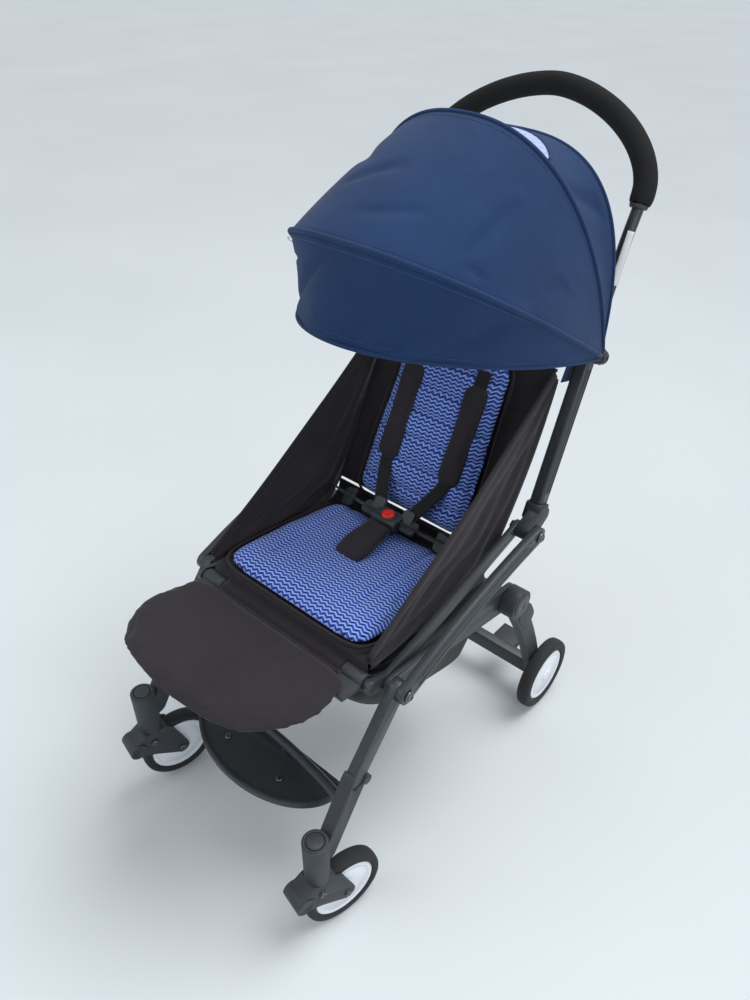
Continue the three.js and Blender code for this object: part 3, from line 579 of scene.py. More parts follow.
def hard(name, colour, rough, metal=0.0, grain=1400, grain_depth=0.25, edge=1.8, blotch=0.12, level=0.5):
    """Paint, plastic, rubber or metal: fine surface grain, uneven gloss, rubbed edges."""
    material, tree, principled = shader(name)
    place = tree.nodes.new("ShaderNodeTexCoord")
    where = place.outputs["Object"]
    grit = noise(tree, where, grain, 2)
    cloudy = noise(tree, where, 12, 4, 0.6)
    scuffs = noise(tree, where, 160, 5, 0.7)
    geometry = tree.nodes.new("ShaderNodeNewGeometry")
    rubbed = ramp(tree, geometry.outputs["Pointiness"], 0.52, 0.60)
    rubbed = math_node(tree, "MULTIPLY", rubbed, ramp(tree, scuffs, 0.42, 0.62))
    base = mix_colour(tree, ramp(tree, cloudy, 0.3, 0.7), tuple(c * (1 - blotch) for c in colour),
                      tuple(c * (1 + blotch) for c in colour))
    worn = mix_colour(tree, math_node(tree, "MULTIPLY", rubbed, 0.5), base,
                      tuple(min(0.9, c * edge + 0.01) for c in colour))
    tree.links.new(worn, principled.inputs["Base Color"])
    gloss = math_node(tree, "ADD", math_node(tree, "MULTIPLY", scuffs, 0.16), rough - 0.08)
    tree.links.new(gloss, principled.inputs["Roughness"])
    principled.inputs["Metallic"].default_value = metal
    principled.inputs["Specular IOR Level"].default_value = level
    bump(tree, grit, grain_depth, 0.0003, principled)
    return material


MATERIALS = {
    "frame_paint": hard("frame paint", (0.026, 0.032, 0.038), 0.42, grain=1100, grain_depth=0.2, level=0.55),
    "dark_plastic": hard("moulded plastic", (0.028, 0.033, 0.038), 0.55, grain=1700, grain_depth=0.3),
    "steel": hard("zinc", (0.16, 0.17, 0.18), 0.38, metal=1.0, grain=600),
    "tyre_rubber": hard("tyre rubber", (0.020, 0.021, 0.023), 0.72, grain=900, grain_depth=0.35, level=0.35),
    "white_plastic": hard("white plastic", (0.78, 0.81, 0.86), 0.36, grain=500, grain_depth=0.05, edge=1.0,
                          blotch=0.02),
    "foam": hard("grip foam", (0.012, 0.012, 0.013), 0.92, grain=2600, grain_depth=0.8, level=0.25),
    "blue_cloth": cloth("canopy cloth", (0.0095, 0.034, 0.104), pitch=0.0012, depth=0.35, sheen=0.08),
    "black_cloth": cloth("dark cloth", (0.024, 0.020, 0.024), pitch=0.0013, depth=0.35, sheen=0.12),
    "printed_cloth": zigzag_print("zigzag print"),
    "red_plastic": hard("red plastic", (0.80, 0.030, 0.018), 0.32, grain=300, grain_depth=0.03, edge=1.1),
}
WEBBING = cloth("webbing", (0.012, 0.012, 0.014), pitch=0.0022, depth=0.9, fade=0.1)
THREAD = cloth("thread", (0.026, 0.023, 0.028), pitch=0.0006, depth=0.4)
BLUE_THREAD = cloth("blue thread", (0.022, 0.065, 0.19), pitch=0.0006, depth=0.4)
LINING = zigzag_print("pale lining print", light=(0.75, 0.83, 1.0), middle=(0.42, 0.52, 0.85),
                      deep=(0.10, 0.14, 0.45))
LABEL = hard("plain label", (0.72, 0.73, 0.74), 0.5, grain=500, grain_depth=0.05, edge=1.0)


def wear(obj, slot, material=None):
    obj.data.materials.clear()
    obj.data.materials.append(material or MATERIALS[slot])
    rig.slot(obj, slot)
    return obj


def dress(obj, slot, body=None, material=None, replaces=()):
    wear(obj, slot, material)
    if body:
        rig.ride(obj, body)
    if replaces:
        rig.replaces(obj, *replaces)
    return obj


# ---------------------------------------------------------------- carried-over CAD nodes

def finish_cad_nodes():
    """Welded, softly bevelled and painted; shapes and places stay."""
    slots = {part["node"]: part["material_slot"] for part in frame["record"]["subparts"]}
    for name, obj in NODES.items():
        for polygon in obj.data.polygons:
            polygon.use_smooth = True
        bevel(obj, 0.0009 if "tube" not in name else 0.0005, 2, 32)
        obj.data.materials.clear()
        obj.data.materials.append(MATERIALS[slots[name]])


# ---------------------------------------------------------------- canopy

def arch_point(arch, turn, grow=0.0):
    cos, sin = math.cos(turn), max(math.sin(turn), 0.0)
    x = (arch["half"] + grow) * math.copysign(abs(cos) ** arch["roundness"], cos)
    reach = (arch["length"] + grow) * sin ** arch["roundness"]
    tilt = math.radians(arch["angle"])
    return HUB + Vector((x, -reach * math.cos(tilt), reach * math.sin(tilt)))


def arch_turn(arch, u, start=0.03):
    """Turns spaced evenly round the arch's corners, for u from 0 to 1."""
    even = start + (math.pi - 2 * start) * u
    cos, sin = math.cos(even), math.sin(even)
    power = 0.9 / arch["roundness"]
    return math.atan2(abs(sin) ** power, math.copysign(abs(cos) ** power, cos))


def between_arches(first, second, u, v, arc_share, grow=0.0):
    """A point of taut cloth between two arches: partly the straight line, partly the turned arch."""
    one = arch_point(first, arch_turn(first, u), grow)
    two = arch_point(second, arch_turn(second, u), grow)
    chord = one.lerp(two, v)
    mixed = {key: first[key] + (second[key] - first[key]) * v for key in first}
    arc = arch_point(mixed, arch_turn(mixed, u), grow)
    return chord.lerp(arc, arc_share)


def crease(u, v, start, end, width, depth):
    """A soft dent along the line from start to end in the cloth's own (u, v)."""
    line = (end[0] - start[0], end[1] - start[1])
    length = math.hypot(*line)
    along = ((u - start[0]) * line[0] + (v - start[1]) * line[1]) / length ** 2
    off = ((u - start[0]) * line[1] - (v - start[1]) * line[0]) / length
    fade = max(0.0, 1 - (2 * along - 1) ** 4) if 0 <= along <= 1 else 0.0
    return -1.5 * depth * fade * math.exp(-(off / width) ** 2)


FRONT_CREASES = (
    ((0.30, 0.20), (0.31, 0.52), 0.012, 0.0045),
    ((0.31, 0.52), (0.26, 0.55), 0.012, 0.0030),
    ((0.50, 0.28), (0.62, 0.40), 0.020, 0.0030),
    ((0.40, 0.42), (0.52, 0.50), 0.016, 0.0025),
    ((0.72, 0.12), (0.60, 0.30), 0.025, 0.0035),
    ((0.15, 0.30), (0.20, 0.58), 0.020, 0.0025),
)
VISOR_CREASES = (
    ((0.50, 0.02), (0.72, 0.95), 0.018, 0.0065),
    ((0.36, 0.55), (0.40, 0.98), 0.020, 0.0045),
    ((0.45, 0.60), (0.47, 0.98), 0.018, 0.0040),
    ((0.20, 0.10), (0.28, 0.80), 0.030, 0.0045),
    ((0.62, 0.30), (0.80, 0.25), 0.018, 0.0030),
)
RIM = 0.70                                                 # share of the front sheet that lies behind the rim


def canopy_front_point(u, v):
    """From the middle bow, over the front bow, down to the visor's hem."""
    if v <= RIM:
        share = v / RIM
        point = between_arches(ARCHES["mid"], ARCHES["front"], u, share, 0.42)
        sag = sum(crease(u, share * 0.6, *c) for c in FRONT_CREASES)
        sag -= 0.004 * math.sin(math.pi * share) * math.sin(math.pi * u)
    else:
        share = (v - RIM) / (1 - RIM)
        point = between_arches(ARCHES["front"], ARCHES["hem"], u, share, 0.35)
        sag = sum(crease(u, share, *c) for c in VISOR_CREASES)
        sag -= 0.010 * math.sin(math.pi * share) * math.sin(math.pi * u)
        sag += 0.0022 * math.sin(38 * u) * share * math.sin(math.pi * u)
    out = point - HUB
    out.x *= 0.6
    return point + out.normalized() * sag


def canopy_rear_point(u, v, grow=0.0):
    point = between_arches(ARCHES["rear"], ARCHES["mid"], u, v, 0.3, grow)
    sag = -0.007 * math.sin(math.pi * v) * math.sin(math.pi * u)
    sag += crease(u, v, (0.22, 0.15), (0.26, 0.95), 0.02, 0.004)
    sag += crease(u, v, (0.80, 0.1), (0.74, 0.9), 0.02, 0.004)
    sag += crease(u, v, (0.36, 0.75), (0.64, 0.75), 0.10, 0.0015)
    return point + (point - HUB).normalized() * sag


def arch_line(arch, grow=0.0, count=96):
    return [arch_point(arch, arch_turn(arch, k / (count - 1)), grow) for k in range(count)]


def make_canopy():
    rear = sheet_mesh("canopy_rear_cloth", canopy_rear_point, 20, 110, 0.0014)
    wear(rear, "blue_cloth")
    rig.replaces(rear, "canopy_rear_panel")
    start = arch_point(ARCHES["rear"], math.pi / 2)
    end = arch_point(ARCHES["mid"], math.pi / 2)
    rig.blend(rear, "canopy_rear", "canopy_mid", start, end)
    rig.sheet(rear, flat=(0.80, 0.115), area=0.061, held="stretched",
             rests_on=["canopy_rear_bow", "canopy_mid_bow"])

    front = sheet_mesh("canopy_front_cloth", canopy_front_point, 56, 150, 0.0014)
    wear(front, "blue_cloth")
    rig.replaces(front, "canopy_front_panel", "canopy_visor")
    start = end
    end = arch_point(ARCHES["front"], math.pi / 2)
    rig.blend(front, "canopy_mid", "canopy_front", start, end)
    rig.sheet(front, flat=(0.90, 0.36), area=0.218, held="stretched",
             rests_on=["canopy_mid_bow", "canopy_front_bow"])

    for place, body, radius, grow in (("rear", "canopy_rear", 0.0026, 0.0006),
                                      ("mid", "canopy_mid", 0.0030, 0.0012),
                                      ("front", "canopy_front", 0.0036, 0.0010),
                                      ("hem", "canopy_front", 0.0026, 0.0)):
        line = arch_line(ARCHES[place], grow)
        piping = sweep(f"canopy_{place}_piping", line, ring(radius, 12))
        dress(piping, "blue_cloth", body)
    for place, body, shift in (("mid", "canopy_mid", 1.9), ("front", "canopy_front", 1.6),
                               ("hem", "canopy_front", -1.6)):
        arch = dict(ARCHES[place], angle=ARCHES[place]["angle"] - shift if place != "hem"
                    else ARCHES[place]["angle"] + 1.8)
        seam = stitches(f"canopy_{place}_stitching", arch_line(arch, 0.0012, 240)[12:-12], 0.00045)
        dress(seam, "blue_cloth", body, BLUE_THREAD)

    window = sheet_mesh("canopy_window_lining", window_point, 14, 40, 0.0010)
    wear(window, "blue_cloth", LINING)
    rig.blend(window, "canopy_rear", "canopy_mid", arch_point(ARCHES["rear"], math.pi / 2), start)
    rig.sheet(window, flat=(0.24, 0.085), area=0.0150, held="stretched", rests_on=["canopy_rear_cloth"])
    edge = sweep("canopy_window_piping", [Vector(window_point(k / 60, 0.0)) for k in range(61)],
                 ring(0.0022, 10))
    wear(edge, "blue_cloth")
    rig.blend(edge, "canopy_rear", "canopy_mid", arch_point(ARCHES["rear"], math.pi / 2), start)

    for hand, side in SIDES:
        tab_path = [HUB + Vector((side * x, y, z)) for x, y, z in
                    ((0.172, -0.004, 0.018), (0.171, -0.010, -0.012), (0.169, -0.020, -0.046))]
        tab = sweep(f"canopy_tab_{hand}", smooth_path(tab_path, 18), band(0.036, 0.0016), (0, 1, 0))
        dress(tab, "blue_cloth", "handle")


def window_point(u, v):
    """The lens-shaped opening at the top of the rear panel, where its printed lining shows."""
    across = 0.5 + (u - 0.5) * 0.37
    bow = (1 - (2 * u - 1) ** 2) ** 0.8
    low = 0.95 - 0.76 * bow
    return canopy_rear_point(across, low + (0.95 - low) * v, 0.0022)


def stitches(name, line, radius, step=0.0042, length=0.0028):
    """A row of thread stitches along a line."""
    run = np.concatenate([[0], np.cumsum([(b - a).length for a, b in zip(line, line[1:])])])
    table = np.array([tuple(p) for p in line])

    def at(distance):
        return Vector([np.interp(distance, run, table[:, k]) for k in range(3)])

    verts, faces = [], []
    for s in np.arange(0, run[-1] - length, step):
        start, end = at(s), at(s + length)
        along = (end - start).normalized()
        one = along.orthogonal().normalized() * radius
        two = along.cross(one).normalized() * radius
        base = len(verts)
        for point, size in ((start, 0.5), (start.lerp(end, 0.25), 1.0), (start.lerp(end, 0.75), 1.0),
                            (end, 0.5)):
            verts += [point + (one * math.cos(a) + two * math.sin(a)) * size
                      for a in np.arange(5) * 2 * math.pi / 5]
        for r in range(3):
            for k in range(5):
                m = (k + 1) % 5
                faces.append((base + 5 * r + k, base + 5 * r + m, base + 5 * r + 5 + m, base + 5 * r + 5 + k))
        faces.append(tuple(base + k for k in reversed(range(5))))
        faces.append(tuple(base + 15 + k for k in range(5)))
    return build(name, verts, faces, [(0, 0)] * len(verts))


# ---------------------------------------------------------------- padded pieces

class Plane:
    """A flat working frame: across, up and out of it."""

    def __init__(self, origin, across, up):
        self.origin = Vector(origin)
        self.across = Vector(across).normalized()
        self.up = Vector(up).normalized()
        self.out = self.across.cross(self.up)

    def point(self, a, b, c=0.0):
        return self.origin + self.across * a + self.up * b + self.out * c

    def local(self, points):
        rel = points - np.array(self.origin)
        return rel @ np.array([self.across, self.up, self.out]).T


def pad_blank(name, outline, plane, thickness, rings=9):
    """A crowned closed form: the outline's rings rise from the rim to the middle."""
    centre = np.mean(np.array(outline), axis=0)
    count = len(outline)
    verts, faces = [], []
    for side in (1, -1):
        for k in range(rings):
            share = 1 - (k / rings) ** 1.4
            height = side * thickness / 2 * (1 - share ** 6) ** 0.5
            for a, b in outline:
                verts.append(plane.point(centre[0] + (a - centre[0]) * share, centre[1]
                                         + (b - centre[1]) * share, height))
        verts.append(plane.point(*centre, side * thickness / 2))
    half = rings * count + 1
    for s in range(2):
        base = s * half
        for k in range(rings - 1):
            for i in range(count):
                j = (i + 1) % count
                faces.append((base + k * count + i, base + k * count + j, base + (k + 1) * count + j, base
                              + (k + 1) * count + i))
        for i in range(count):
            faces.append((base + (rings - 1) * count + i, base + (rings - 1) * count + (i + 1) % count, base
                          + half - 1))
    work = build(name, verts, faces)
    weld = work.modifiers.new("weld", "WELD")
    weld.merge_threshold = 1e-5
    return apply_modifiers(work)


def inflate(obj, cap, voxel=0.005, pressure=4.0, frames=20):
    """Swells the pad as stuffed cloth under pressure, each point moving by at most cap."""
    remesh = obj.modifiers.new("remesh", "REMESH")
    remesh.mode = "VOXEL"
    remesh.voxel_size = voxel
    apply_modifiers(obj)
    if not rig.quick():
        rest = coords(obj.data)
        modifier = obj.modifiers.new("stuffing", "CLOTH")
        settings = modifier.settings
        settings.use_pressure = True
        settings.uniform_pressure_force = pressure
        settings.effector_weights.gravity = 0
        settings.tension_stiffness = 12
        settings.compression_stiffness = 12
        settings.bending_stiffness = 0.4
        modifier.point_cache.frame_start = 1
        modifier.point_cache.frame_end = frames
        for step in range(1, frames + 1):
            SCENE.frame_set(step)
        graph = bpy.context.evaluated_depsgraph_get()
        moved = coords(obj.evaluated_get(graph).data)
        obj.modifiers.clear()
        SCENE.frame_set(1)
        shift = moved - rest
        size = np.linalg.norm(shift, axis=1, keepdims=True)
        set_coords(obj.data, rest + shift * np.minimum(1, cap / np.maximum(size, 1e-9)))
    subdivide = obj.modifiers.new("smooth", "SUBSURF")
    subdivide.levels = 1
    apply_modifiers(obj)
    obj.data.shade_smooth()
    return obj


def quilt(obj, plane, depth_at, floor=None):
    """Sinks the outer side along sewn lines and lays the pad's UVs flat on its plane."""
    points = coords(obj.data)
    local = plane.local(points)
    top = local[:, 2].max()
    for i, (a, b, c) in enumerate(local):
        if c > 0:
            local[i, 2] = c - depth_at(a, b) * min(1.0, c / (0.35 * top))
    if floor is not None:
        local[:, 2] = np.maximum(local[:, 2], floor)
    basis = np.array([plane.across, plane.up, plane.out])
    set_coords(obj.data, local @ basis + np.array(plane.origin))
    layer = obj.data.uv_layers.new(name="cloth")
    for loop in obj.data.loops:
        a, b, c = local[loop.vertex_index]
        layer.data[loop.index].uv = (a, b + 0.3 * c)
    return obj


def groove(value, width):
    return math.exp(-(value / width) ** 2)


def pad_outline(points, count=96, soften=0.010):
    """A closed curve through the points with its corners evened out over the soften length."""
    path = np.array([(p.x, p.y) for p in smooth_path([(a, b, 0) for a, b in points], 480, closed=True)])
    step = np.linalg.norm(path[1] - path[0])
    reach = int(soften / step) + 1
    for _ in range(3):
        path = sum(np.roll(path, k, axis=0) for k in range(-reach, reach + 1)) / (2 * reach + 1)
    picks = np.linspace(0, 480, count, endpoint=False).astype(int)
    return [tuple(path[k]) for k in picks]


def seat_plane():
    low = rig.box("seat_cushion")[0]
    slope = math.atan2(20, 240)
    return Plane((0, 0, low[2] + 0.0166), (1, 0, 0), (0, math.cos(slope), -math.sin(slope)))


def make_seat_pad():
    plane = seat_plane()
    underside = -0.012
    outline = pad_outline([(-0.118, -0.191), (0.0, -0.193), (0.118, -0.191), (0.146, -0.176), (0.153, -0.140),
                           (0.149, -0.06), (0.141, 0.02), (0.120, 0.062), (0.0, 0.067), (-0.120, 0.062),
                           (-0.141, 0.02), (-0.149, -0.06), (-0.153, -0.140), (-0.146, -0.176)])
    pad = inflate(pad_blank("seat_pad", outline, plane, 0.021), 0.006)

    def depth(a, b):
        channel = 0.0035 * groove(abs(a) - 0.088, 0.006) * (1 if b > -0.13 else 0.4)
        pull = 0.007 * groove(math.hypot(a, (b + 0.030) * 1.2), 0.035)
        wrinkle = 0.0012 * math.sin(60 * b + 18 * abs(a)) * groove(abs(a) - 0.13, 0.03)
        return channel + pull + wrinkle

    quilt(pad, plane, depth, floor=underside)
    dress(pad, "printed_cloth", "chassis", replaces=["seat_cushion"])
    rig.padded(pad, fill=0.45)
    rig.squash(pad, "frame_fold", axis=plane.out, anchor=plane.point(0, 0, underside), keep=0.45)
    rim = [plane.point(a * 1.003, b * 1.002 - 0.0003, -0.001) for a, b in outline]
    piping = sweep("seat_pad_piping", rim, ring(0.0022, 8), closed=True)
    dress(piping, "printed_cloth", "chassis", MATERIALS["black_cloth"])
    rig.squash(piping, "frame_fold", axis=plane.out, anchor=plane.point(0, 0, underside), keep=0.45)


def back_plane(lift=0.0):
    plane = Plane(BACK_PIVOT, (1, 0, 0), (0, 140, 282))
    plane.origin = plane.point(0, 0, lift)
    return plane


def make_back_pad():
    plane = back_plane(0.0105)
    underside = -0.0095
    outline = pad_outline([(-0.100, 0.006), (0.0, 0.003), (0.100, 0.006), (0.113, 0.032), (0.113, 0.12),
                           (0.108, 0.20), (0.104, 0.27), (0.088, 0.297), (0.0, 0.300), (-0.088, 0.297),
                           (-0.104, 0.27), (-0.108, 0.20), (-0.113, 0.12), (-0.113, 0.032)])
    pad = inflate(pad_blank("back_pad_quilted", outline, plane, 0.019), 0.006)

    def depth(a, b):
        rows = sum(groove(b - row, 0.0055) for row in (0.045, 0.088, 0.131, 0.174, 0.217, 0.260))
        return 0.0055 * rows + 0.0010 * math.sin(45 * a + 90 * b)

    quilt(pad, plane, depth, floor=underside)
    dress(pad, "printed_cloth", "backrest", replaces=["back_pad"])
    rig.padded(pad, fill=0.5)
    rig.squash(pad, "frame_fold", axis=plane.out, anchor=plane.point(0, 0, underside), keep=0.4)
    rim = [plane.point(a * 1.004, b, -0.001) for a, b in outline]
    piping = sweep("back_pad_piping", rim, ring(0.0021, 8), closed=True)
    dress(piping, "printed_cloth", "backrest", MATERIALS["black_cloth"])
    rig.squash(piping, "frame_fold", axis=plane.out, anchor=plane.point(0, 0, underside), keep=0.4)


def make_leg_rest():
    rise = math.radians(8)
    plane = Plane(REST_PIVOT, (1, 0, 0), (0, math.cos(rise), -math.sin(rise)))
    plane.origin = plane.point(0, 0, 0.012)
    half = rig.box("leg_rest_board")[1][0]
    outline = pad_outline([(-0.148, -0.021), (0, -0.020), (0.148, -0.021), (0.164, -0.046),
                           (half - 0.005, -0.082), (half - 0.006, -0.118), (0.156, -0.156), (0.130, -0.187),
                           (0.092, -0.206), (0, -0.217), (-0.092, -0.206), (-0.130, -0.187),
                           (-0.156, -0.156), (-half + 0.006, -0.118), (-half + 0.005, -0.082),
                           (-0.164, -0.046)], 160)
    pad = inflate(pad_blank("leg_rest_pad", outline, plane, 0.0165), 0.004, voxel=0.0035)

    def depth(a, b):
        return 0.0012 * groove(b + 0.028, 0.004) + 0.0006 * math.sin(30 * a) * math.sin(26 * b)

    quilt(pad, plane, depth)
    dress(pad, "black_cloth", "leg_rest", replaces=["leg_rest_board"])
    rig.padded(pad, fill=0.9)
    front_cover()


def front_cover():
    """The seat cloth's front edge, drawn over the seat's front tube down to the leg rest."""
    rear = Vector((0, 0.0215, 0.0250))
    lip = Vector((0, -0.0300, 0.0150))

    def point(u, v):
        turn = math.radians(125 - 95 * min(max((v - 0.35) / 0.35, 0), 1))
        arc = Vector((0, -0.0116 * math.cos(turn), 0.0116 * math.sin(turn)))
        if v < 0.35:
            arc = rear.lerp(arc, v / 0.35)
        elif v > 0.7:
            arc = arc.lerp(lip, (v - 0.7) / 0.3)
        across = Vector((-0.126 + 0.252 * u, 0, 0))
        ripple = Vector((0, 0, 0.0005 * math.sin(45 * u)))
        return REST_PIVOT + across + arc + ripple

    cover = sheet_mesh("seat_front_cover", point, 24, 30, 0.0014)
    wear(cover, "black_cloth")
    start, end = REST_PIVOT + Vector((0, 0.002, 0.010)), REST_PIVOT + Vector((0, -0.024, 0.010))
    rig.blend(cover, "chassis", "leg_rest", start, end)


# ---------------------------------------------------------------- side cloth, back cloth, floor cloth

def side_cloth_point(side, u, v):
    """u runs from the seat's front to the canopy clip, v from the hemmed top edge down to the seat."""
    front_top, front_foot = Vector((0, -0.190, 0.442)), Vector((0, -0.188, 0.416))
    head, back_head = Vector((0, 0.224, 0.706)), Vector((0, 0.236, 0.690))
    top = front_top.lerp(head, u)
    top.z -= 0.010 * math.sin(math.pi * u)
    floor_share = min(u / 0.55, 1.0)
    rise = max((u - 0.55) / 0.45, 0.0)
    low = front_foot.lerp(Vector((0, 0.076, 0.399)), floor_share)
    low = low.lerp(back_head, rise) + Vector((0, 0.014, -0.020)) * math.sin(math.pi * rise)
    point = top.lerp(low, v)
    slack = math.sin(math.pi * v) * math.sin(math.pi * min(1, u * 1.15))
    fold = 0.0035 * math.sin(26 * v + 9 * u) * math.sin(math.pi * u) * (0.3 + 0.7 * v)
    fold += 0.0030 * math.sin(17 * u - 12 * v + side) * math.sin(math.pi * v)
    inward = 0.010 * slack + fold * 0.8
    point.x = side * (0.1640 - inward)
    point.z -= 0.004 * slack
    return point


def make_side_cloths():
    for hand, side in SIDES:
        piece = sheet_mesh(f"side_cloth_{hand}", lambda u, v, s=side: side_cloth_point(s, u, v), 34, 72,
                           0.0013)
        wear(piece, "black_cloth")
        if side > 0:
            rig.replaces(piece, "seat_fabric")
        start, end = FOLD_PIVOT + Vector((0, -0.09, -0.03)), FOLD_PIVOT + Vector((0, 0.03, 0.09))
        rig.blend(piece, "chassis", "handle", start, end)
        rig.sheet(piece, flat=(0.49, 0.17), area=0.052, held="gathered",
                 rests_on=["seat_frame_tube", f"handle_lower_tube_{hand}"])
        edge = [Vector(side_cloth_point(side, k / 60, 0.0)) for k in range(61)]
        hem = sweep(f"side_cloth_hem_{hand}", edge, [(a * 1.2, b * 3.2) for a, b in ring(0.0026, 12)],
                    (1, 0, 0))
        wear(hem, "black_cloth")
        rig.blend(hem, "chassis", "handle", start, end)
        inward = Vector((-side * 0.0009, 0, 0))
        line = [Vector(side_cloth_point(side, k / 60, 0.09)) + inward for k in range(2, 59)]
        seam = stitches(f"side_cloth_stitching_{hand}", line, 0.0004)
        wear(seam, "black_cloth", THREAD)
        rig.blend(seam, "chassis", "handle", start, end)


def make_floor_cloth():
    plane = seat_plane()

    def point(u, v):
        a = -0.160 + 0.320 * u
        if v < 0.1:
            front = plane.point(a, -0.190, -0.0150)
            return Vector((a, -0.1935, 0.404)).lerp(front, v / 0.1)
        if v > 0.85:
            rear, back = plane.point(a, 0.074, -0.0150), back_plane(-0.002).point(a, 0.004)
            share = (v - 0.85) / 0.15
            return rear.lerp(back, share) + Vector((0, 0.006, -0.006)) * math.sin(math.pi * share)
        share = (v - 0.1) / 0.75
        dip = 0.004 * math.sin(math.pi * u) * math.sin(math.pi * share)
        return plane.point(a, -0.190 + 0.264 * share, -0.0150 - dip)

    floor = sheet_mesh("seat_floor_cloth", point, 60, 30, 0.0016)
    dress(floor, "black_cloth", "chassis")
    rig.sheet(floor, flat=(0.325, 0.325), held="stretched", rests_on=["seat_frame_tube"])


def make_back_cloth():
    plane = back_plane(-0.0015)

    def point(u, v):
        a = -0.160 + 0.320 * u
        b = 0.010 + 0.298 * v
        sag = 0.006 * math.sin(math.pi * u) * math.sin(math.pi * v)
        ripple = 0.0012 * math.sin(30 * v + 6 * u) * math.sin(math.pi * u)
        return plane.point(a, b, -sag - abs(ripple))

    back = sheet_mesh("back_cloth", point, 34, 36, 0.0016)
    dress(back, "black_cloth", "backrest", replaces=["back_fabric"])
    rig.sheet(back, flat=(0.325, 0.305), held="stretched",
             rests_on=["handle_lower_tube_left", "handle_lower_tube_right"])
    for place, height in (("top", 0.307), ("foot", 0.011)):
        line = [plane.point(-0.160 + 0.320 * k / 24, height, -0.0015) for k in range(25)]
        dress(sweep(f"back_cloth_{place}_hem", line, ring(0.0026, 10)), "black_cloth", "backrest")


# ---------------------------------------------------------------- harness

def crumple(piece, floor_z, keep=0.4):
    """The piece flattens down towards the height floor_z as the frame folds."""
    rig.squash(piece, "frame_fold", axis=(0, 0, 1), anchor=(0, 0, floor_z), keep=keep)


def make_crotch_pad():
    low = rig.box("crotch_pad")[0]
    path = smooth_path([(0, -0.060, 0.4475), (0, -0.040, 0.4505), (0, -0.014, 0.4545), (0, 0.008, 0.4565),
                        (0, 0.022, 0.4570)], 36)
    scale = [0.86 + 0.14 * math.sin(math.pi * min(1, k / 35 * 1.4)) for k in range(36)]
    pad = sweep("crotch_pad_cover", path, band(0.057, 0.0150), (1, 0, 0), scale=scale)
    subdivide = pad.modifiers.new("round", "SUBSURF")
    subdivide.levels = 2
    apply_modifiers(pad)
    pad.data.shade_smooth()
    dress(pad, "black_cloth", "chassis", replaces=["crotch_pad"])
    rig.padded(pad, fill=0.6)
    crumple(pad, low[2])
    for hand, side in SIDES:
        line = [p + Vector((side * 0.0215, 0, 0.0066)) for p in path[5:-5]]
        seam = stitches(f"crotch_pad_stitching_{hand}", line, 0.0004)
        dress(seam, "black_cloth", "chassis", THREAD)
        crumple(seam, low[2])


def make_belts():
    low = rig.box("waist_belt_left")[0]
    for hand, side in SIDES:
        path = smooth_path([(side * 0.022, 0.046, 0.4575), (side * 0.052, 0.049, 0.4560),
                            (side * 0.090, 0.058, 0.4490), (side * 0.125, 0.068, 0.4405),
                            (side * 0.152, 0.078, 0.4330)], 40)
        belt = sweep(f"waist_webbing_{hand}", path, band(0.024, 0.0022), (0, -0.55, 0.83))
        dress(belt, "black_cloth", "chassis", WEBBING, replaces=[f"waist_belt_{hand}"])
        crumple(belt, low[2])
        tongue = prism(f"belt_tongue_{hand}", rounded(0.030, 0.024, 0.006), (side * 0.040, 0.048, 0.4555),
                       (1, 0, 0), (0, 0.94, 0.34), 0.0075, 0.0012)
        dress(tongue, "dark_plastic", "chassis")
        crumple(tongue, low[2])
        slider = prism(f"belt_slider_{hand}", rounded(0.026, 0.031, 0.005), (side * 0.098, 0.060, 0.4470),
                       (side * 0.94, 0.12, -0.32), (0, 0.6, 0.8), side * 0.006, 0.001)
        dress(slider, "dark_plastic", "chassis")
        crumple(slider, low[2])


def make_shoulder_straps():
    plane = back_plane(0.0212)
    across, middle = 0.062, 0.165                          # the pads' centres on the backrest
    shape = rounded(0.043, 0.166, 0.013, 6)
    for hand, side in SIDES:
        outline = [(side * across + a, middle + b) for a, b in shape]
        shifted = Plane(plane.point(0, 0, 0.0050), plane.across, plane.up)
        pad = pad_blank(f"shoulder_pad_cover_{hand}", outline, shifted, 0.0105)
        pad = inflate(pad, 0.003, voxel=0.0035)
        quilt(pad, shifted, lambda a, b: 0.0016 * groove(b - middle, 0.003))
        dress(pad, "black_cloth", "backrest", replaces=[f"shoulder_pad_{hand}"])
        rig.padded(pad, fill=0.7)
        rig.squash(pad, "frame_fold", axis=shifted.out, anchor=plane.point(0, 0, -0.02), keep=0.4)
        line = [shifted.point(side * across + a * 0.86, middle + b * 0.955, 0.0062) for a, b in shape]
        seam = stitches(f"shoulder_pad_stitching_{hand}", line + line[:1], 0.0004)
        dress(seam, "black_cloth", "backrest", THREAD)
        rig.squash(seam, "frame_fold", axis=shifted.out, anchor=plane.point(0, 0, -0.02), keep=0.4)
        low_end = Vector((side * 0.030, 0.056, 0.4640))
        points = [plane.point(side * across, 0.272, 0.0035), plane.point(side * across, 0.250, 0.0040),
                  plane.point(side * across, middle, 0.0045),
                  plane.point(side * 0.060, 0.085, 0.0055), plane.point(side * 0.048, 0.050, 0.0150), low_end]
        strap = sweep(f"shoulder_webbing_{hand}", smooth_path(points, 60), band(0.024, 0.0022), (1, 0, 0))
        dress(strap, "black_cloth", "backrest", WEBBING)
        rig.squash(strap, "frame_fold", axis=plane.up, anchor=plane.point(0, 0.272, 0), keep=0.6)
        tongue = prism(f"shoulder_tongue_{hand}", rounded(0.022, 0.034, 0.006), (side * 0.030, 0.056, 0.4610),
                       (1, 0, 0), (0, 0.70, 0.71), 0.008, 0.0012)
        dress(tongue, "dark_plastic", "chassis")
        crumple(tongue, 0.43)


